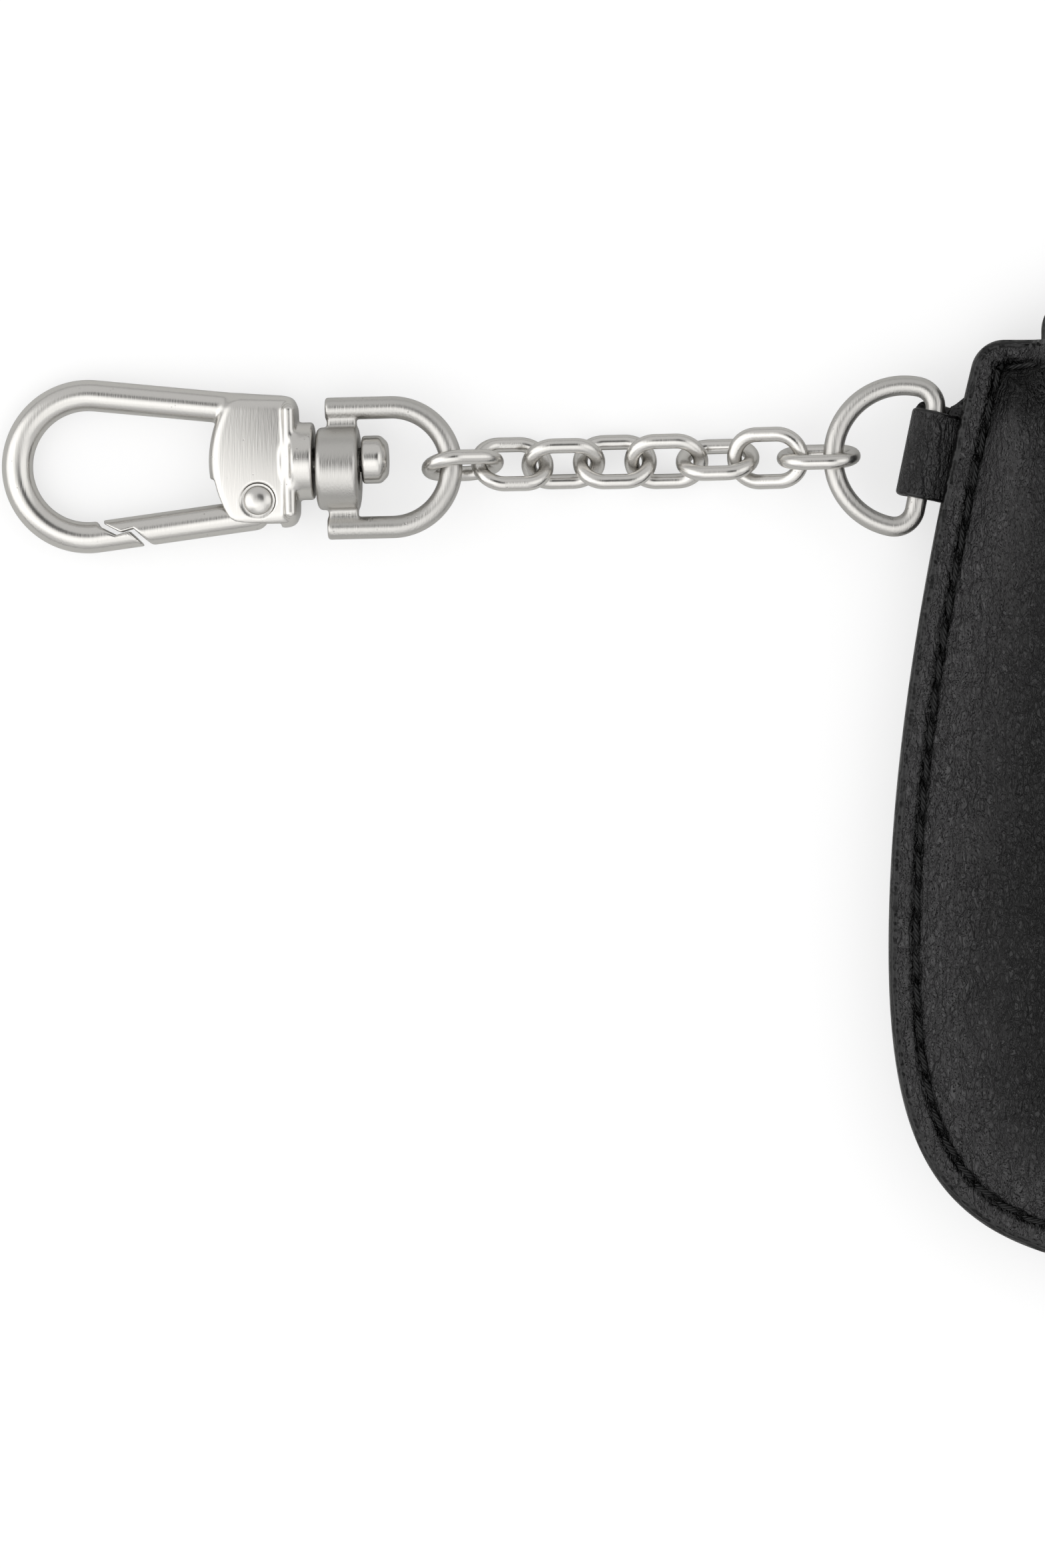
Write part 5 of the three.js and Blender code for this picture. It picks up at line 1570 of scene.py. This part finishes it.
    def stem_field(self, p: Array) -> Array:
        """Distance to the collar, its step, the shank and the head with its worked end."""
        face = -self.hub_length / 2 - self.gap
        start = face - self.collar_length
        neck = to_round_bar(p, self.collar_radius - 0.9, self.block_right - 1.5, start + 1.4, 0.2)
        collar = to_round_bar(p, self.collar_radius, start + 1.1, face, 0.35)
        head_start = self.hub_length / 2 + self.gap
        shank = to_round_bar(p, self.shank, face - 0.5, head_start + 0.5, 0.05)
        head = to_round_bar(p, self.head_radius, head_start, head_start + self.head_length, 0.3)
        corner = head_start + self.head_length + self.head_radius - 0.75
        cone = (np.hypot(p[..., 1], p[..., 2]) + p[..., 0] - corner) * math.sqrt(0.5)
        head = blend_max(head, cone, 0.25)
        return blend_min(blend_min(neck, collar, 0.25), blend_min(shank, head, 0.3), 0.3)

    def hook_field(self, p: Array) -> Array:
        """Distance to the whole hook: wire, block, rim and stem, less the gate's slot and rivet."""
        x, y, z = p[..., 0], p[..., 1], p[..., 2]
        block = self.block_field(p)
        rim_half = self.block_depth + 0.35
        rim_top = self.block_half - 1.2
        rim_low = (self.block_right - 1.35, -rim_top, -rim_half)
        rim = to_box(p, rim_low, (self.block_right - 0.1, rim_top, rim_half), 0.6)
        solid = blend_min(blend_min(block, rim, 0.35), self.stem_field(p), 0.5)
        slot_half = self.wire + self.gap
        px, py = self.pivot
        slot = to_box(
            p, (self.loop_x + 9, -self.block_half - 3, -slot_half),
            (px + self.eye + self.gap, py + self.eye + self.gap, slot_half), 0.3,
        )
        solid = blend_max(solid, -slot, 0.25)
        wire = self.wire_field(p)
        upper = np.where(y > 0, wire, np.maximum(wire, x - (self.loop_x + 8)))
        nose = blend_max(upper, -self.lap(x, y, 0.0), 0.25)
        solid = blend_min(solid, nose, 0.45)
        around = np.hypot(x - px, y - py)
        solid = np.maximum(solid, self.pivot_radius + 0.15 - around)
        well = blend_max(around - self.rivet_head - 0.3, self.block_depth - self.recess - np.abs(z), 0.15)
        return blend_max(solid, -well, 0.2)

    def build_hook(self) -> None:
        """Makes the hook's casting."""
        reach = self.loop_radius + self.wire + 0.3
        left = self.loop_x - reach
        right = self.hub_length / 2 + self.gap + self.head_length + 0.3
        skin = surface_net(self.hook_field, (left, -reach, -4.2), (right, reach, 4.2), self.voxel)
        skin.points = self.hook.out(skin.points)
        Workshop.piece("snap_hook_casting", skin, "hook", self.coats.nickel, "snap_hook")

    # Gate

    def gate_field(self, p: Array) -> Array:
        """Distance to the gate: a straight round arm cut by the lap, with a flat eye."""
        x, y, z = p[..., 0], p[..., 1], p[..., 2]
        px, py = self.pivot
        start, end = self.loop_x - 1, px - 0.6
        arm = to_segment(p, (start, -self.arm_y(start), 0), (end, -self.arm_y(end), 0)) - self.wire
        arm = blend_max(arm, self.lap(x, y, self.gap * 1.6), 0.25)
        around = np.hypot(x - px, y - py)
        room = np.maximum(around - self.eye - 0.2, -z)
        arm = np.maximum(arm, -room)
        eye = blend_max(around - self.eye, np.abs(z + self.wire / 2) - self.wire / 2, 0.2)
        return np.maximum(blend_min(arm, eye, 0.3), self.pivot_radius + 0.15 - around)

    def build_gate(self) -> None:
        """Makes the gate."""
        px, py = self.pivot
        low = (self.loop_x + 0.5, -self.loop_radius - self.wire - 1, -self.wire - 0.3)
        high = (px + self.eye + 0.3, py + self.eye + 0.6, self.wire + 0.3)
        skin = surface_net(self.gate_field, low, high, self.voxel * 0.85)
        skin.points = self.hook.out(skin.points)
        Workshop.piece("hook_gate_arm", skin, "gate", self.coats.nickel, "hook_gate")

    def build_rivet(self) -> None:
        """Makes the rivet, turned with a low dome at each end."""
        top = self.block_depth + 0.15
        seat = self.block_depth - self.recess + 0.15
        rise = np.linspace(0.02, 1, 9)[:, None]
        dome = np.concatenate([top - (top - seat) * (rise**2.6), self.rivet_head * rise], 1)
        shaft = np.array([[seat - 0.04, self.rivet_head - 0.08], [seat - 0.06, self.pivot_radius]])
        upper = np.concatenate([dome, shaft])
        profile = np.concatenate([upper, upper[::-1] * np.array([-1.0, 1.0])])
        skin = turned(profile, self.hook.moved(*self.pivot, 0))
        Workshop.piece("gate_rivet_turned", skin, "hook", self.coats.nickel, "gate_rivet")

    def build_spring(self) -> None:
        """Makes the torsion spring that winds round the rivet."""
        place = self.hook.moved(*self.pivot, 0)
        wire, turns, rows = self.spring_wire, 2.5, 90
        turn = np.linspace(0, turns * 2 * np.pi, rows)
        radius = self.pivot_radius + 0.2 + wire
        high = self.wire + self.gap - 0.15 - wire
        level = np.linspace(0.3 + wire, high, rows)
        coil = place.out(np.stack([radius * np.cos(turn), radius * np.sin(turn), level], 1))
        skin = swept(coil, wire, 8, False, place.z)
        Workshop.piece("gate_spring_wire", skin, "hook", self.coats.spring, "gate_spring")

    def build(self) -> None:
        """Makes the whole swivel hook."""
        self.build_bail()
        self.build_hook()
        self.build_gate()
        self.build_rivet()
        self.build_spring()


# --- Studio -------------------------------------------------------------------------------


@dataclass(frozen=True)
class Card:
    """A soft round card in the tent's wall; below zero it takes light away."""

    towards: tuple[float, float, float]
    full: float
    ends: float
    strength: float

    def light(self, s: Sheet, direction: bpy.types.NodeSocket) -> bpy.types.NodeSocket:
        """Its light by direction: whole within one angle of its middle, none past another.

        Args:
            s: The world's sheet of nodes.
            direction: The direction looked in.

        Returns:
            The light that the card adds.
        """
        middle = tuple(Vector(self.towards).normalized())
        dot = s.add("VectorMath", {0: direction, 1: middle}, operation="DOT_PRODUCT").outputs["Value"]
        near, far = math.cos(math.radians(self.full)), math.cos(math.radians(self.ends))
        return s.ramp(dot, far, near, 0.0, self.strength)


@dataclass
class Studio:
    """The pale floor, the soft light all round and the camera straight above."""

    tent_glow: float = 0.72
    horizon_glow: float = 0.4
    cards: tuple[Card, ...] = (
        Card((0.0, -0.5, 0.86), 14, 38, 0.6),
        Card((-0.85, -0.05, 0.52), 18, 42, 0.95),
        Card((0.7, 0.05, 0.7), 10, 30, 0.6),
        Card((-0.4, -0.25, 0.88), 8, 28, 0.34),
        Card((0.1, 0.24, 0.96), 6, 22, -0.66),
    )
    view_middle: tuple[float, float] = (-94.53, 2.72)
    view_height: float = 156.8
    camera_distance: float = 2000.0
    sensor: float = 36.0

    def build_floor(self) -> None:
        """A wide pale board that the wallet lies on."""
        sides, level = 48, -0.05
        radius = np.array([0.05, 0.4, 1.0, 2.0, 4.0])[:, None] / MM
        angle = np.linspace(0, 2 * np.pi, sides, endpoint=False)
        grid = np.stack([radius * np.cos(angle), radius * np.sin(angle), 0 * radius * angle + level], -1)
        mesh = bpy.data.meshes.new("floor_board")
        points = np.concatenate([grid.reshape(-1, 3), [[0.0, 0.0, level]]]) * MM
        j = np.arange(sides)
        fan = np.stack([np.full(sides, len(points) - 1), j, (j + 1) % sides], 1)
        quads = grid_quads(len(radius), sides, False, True)
        mesh.from_pydata(points.tolist(), [], quads.tolist() + fan.tolist())
        mesh.materials.append(FloorFinish("pale_board", (0.66, 0.66, 0.65), 0.9).build())
        floor = bpy.data.objects.new("floor_board", mesh)
        bpy.context.scene.collection.objects.link(floor)

    def build_light(self) -> None:
        """A white tent as the world: an even glow, cards on three sides, dim where the camera is."""
        world = bpy.data.worlds.new("soft_tent")
        bpy.context.scene.world = world
        world.use_nodes = True
        s = Sheet(world.node_tree)
        s.tree.nodes.clear()
        direction = s.add("TexCoord").outputs["Generated"]
        height = s.add("SeparateXYZ", {0: direction}).outputs[2]
        glow = s.ramp(height, 0.0, 0.32, self.horizon_glow, self.tent_glow)
        for card in self.cards:
            glow = s.math("ADD", glow, card.light(s, direction))
        tent = s.add("Background", {0: glow})
        plain = s.add("Background", {0: (1, 1, 1, 1), 1: 1.0})
        seen = s.add("LightPath").outputs["Is Camera Ray"]
        chosen = s.add("MixShader", {0: seen, 1: tent.outputs[0], 2: plain.outputs[0]})
        s.add("OutputWorld", {0: chosen.outputs[0]})

    def build_camera(self) -> None:
        """A long lens straight above, framing the chain and the pouch's left side."""
        data = bpy.data.cameras.new("overhead_camera")
        data.sensor_width = self.sensor
        data.lens = self.sensor * self.camera_distance / self.view_height
        data.clip_end = 50
        camera = bpy.data.objects.new("overhead_camera", data)
        camera.location = Vector((*self.view_middle, self.camera_distance)) * MM
        bpy.context.scene.collection.objects.link(camera)
        bpy.context.scene.camera = camera
        bpy.context.scene.view_settings.view_transform = "Standard"

    def build(self) -> None:
        """Makes the studio."""
        self.build_floor()
        self.build_light()
        self.build_camera()


def main() -> None:
    """Builds every sub-assembly in order."""
    logging.basicConfig(level=logging.INFO, format="%(message)s")
    Studio().build()
    coats = Coats()
    for assembly in (Pouch, Zip, SideTab, Chain, SnapHook):
        LOG.info("building %s", assembly.__name__)
        assembly(coats).build()


if __name__ == "__main__":
    main()
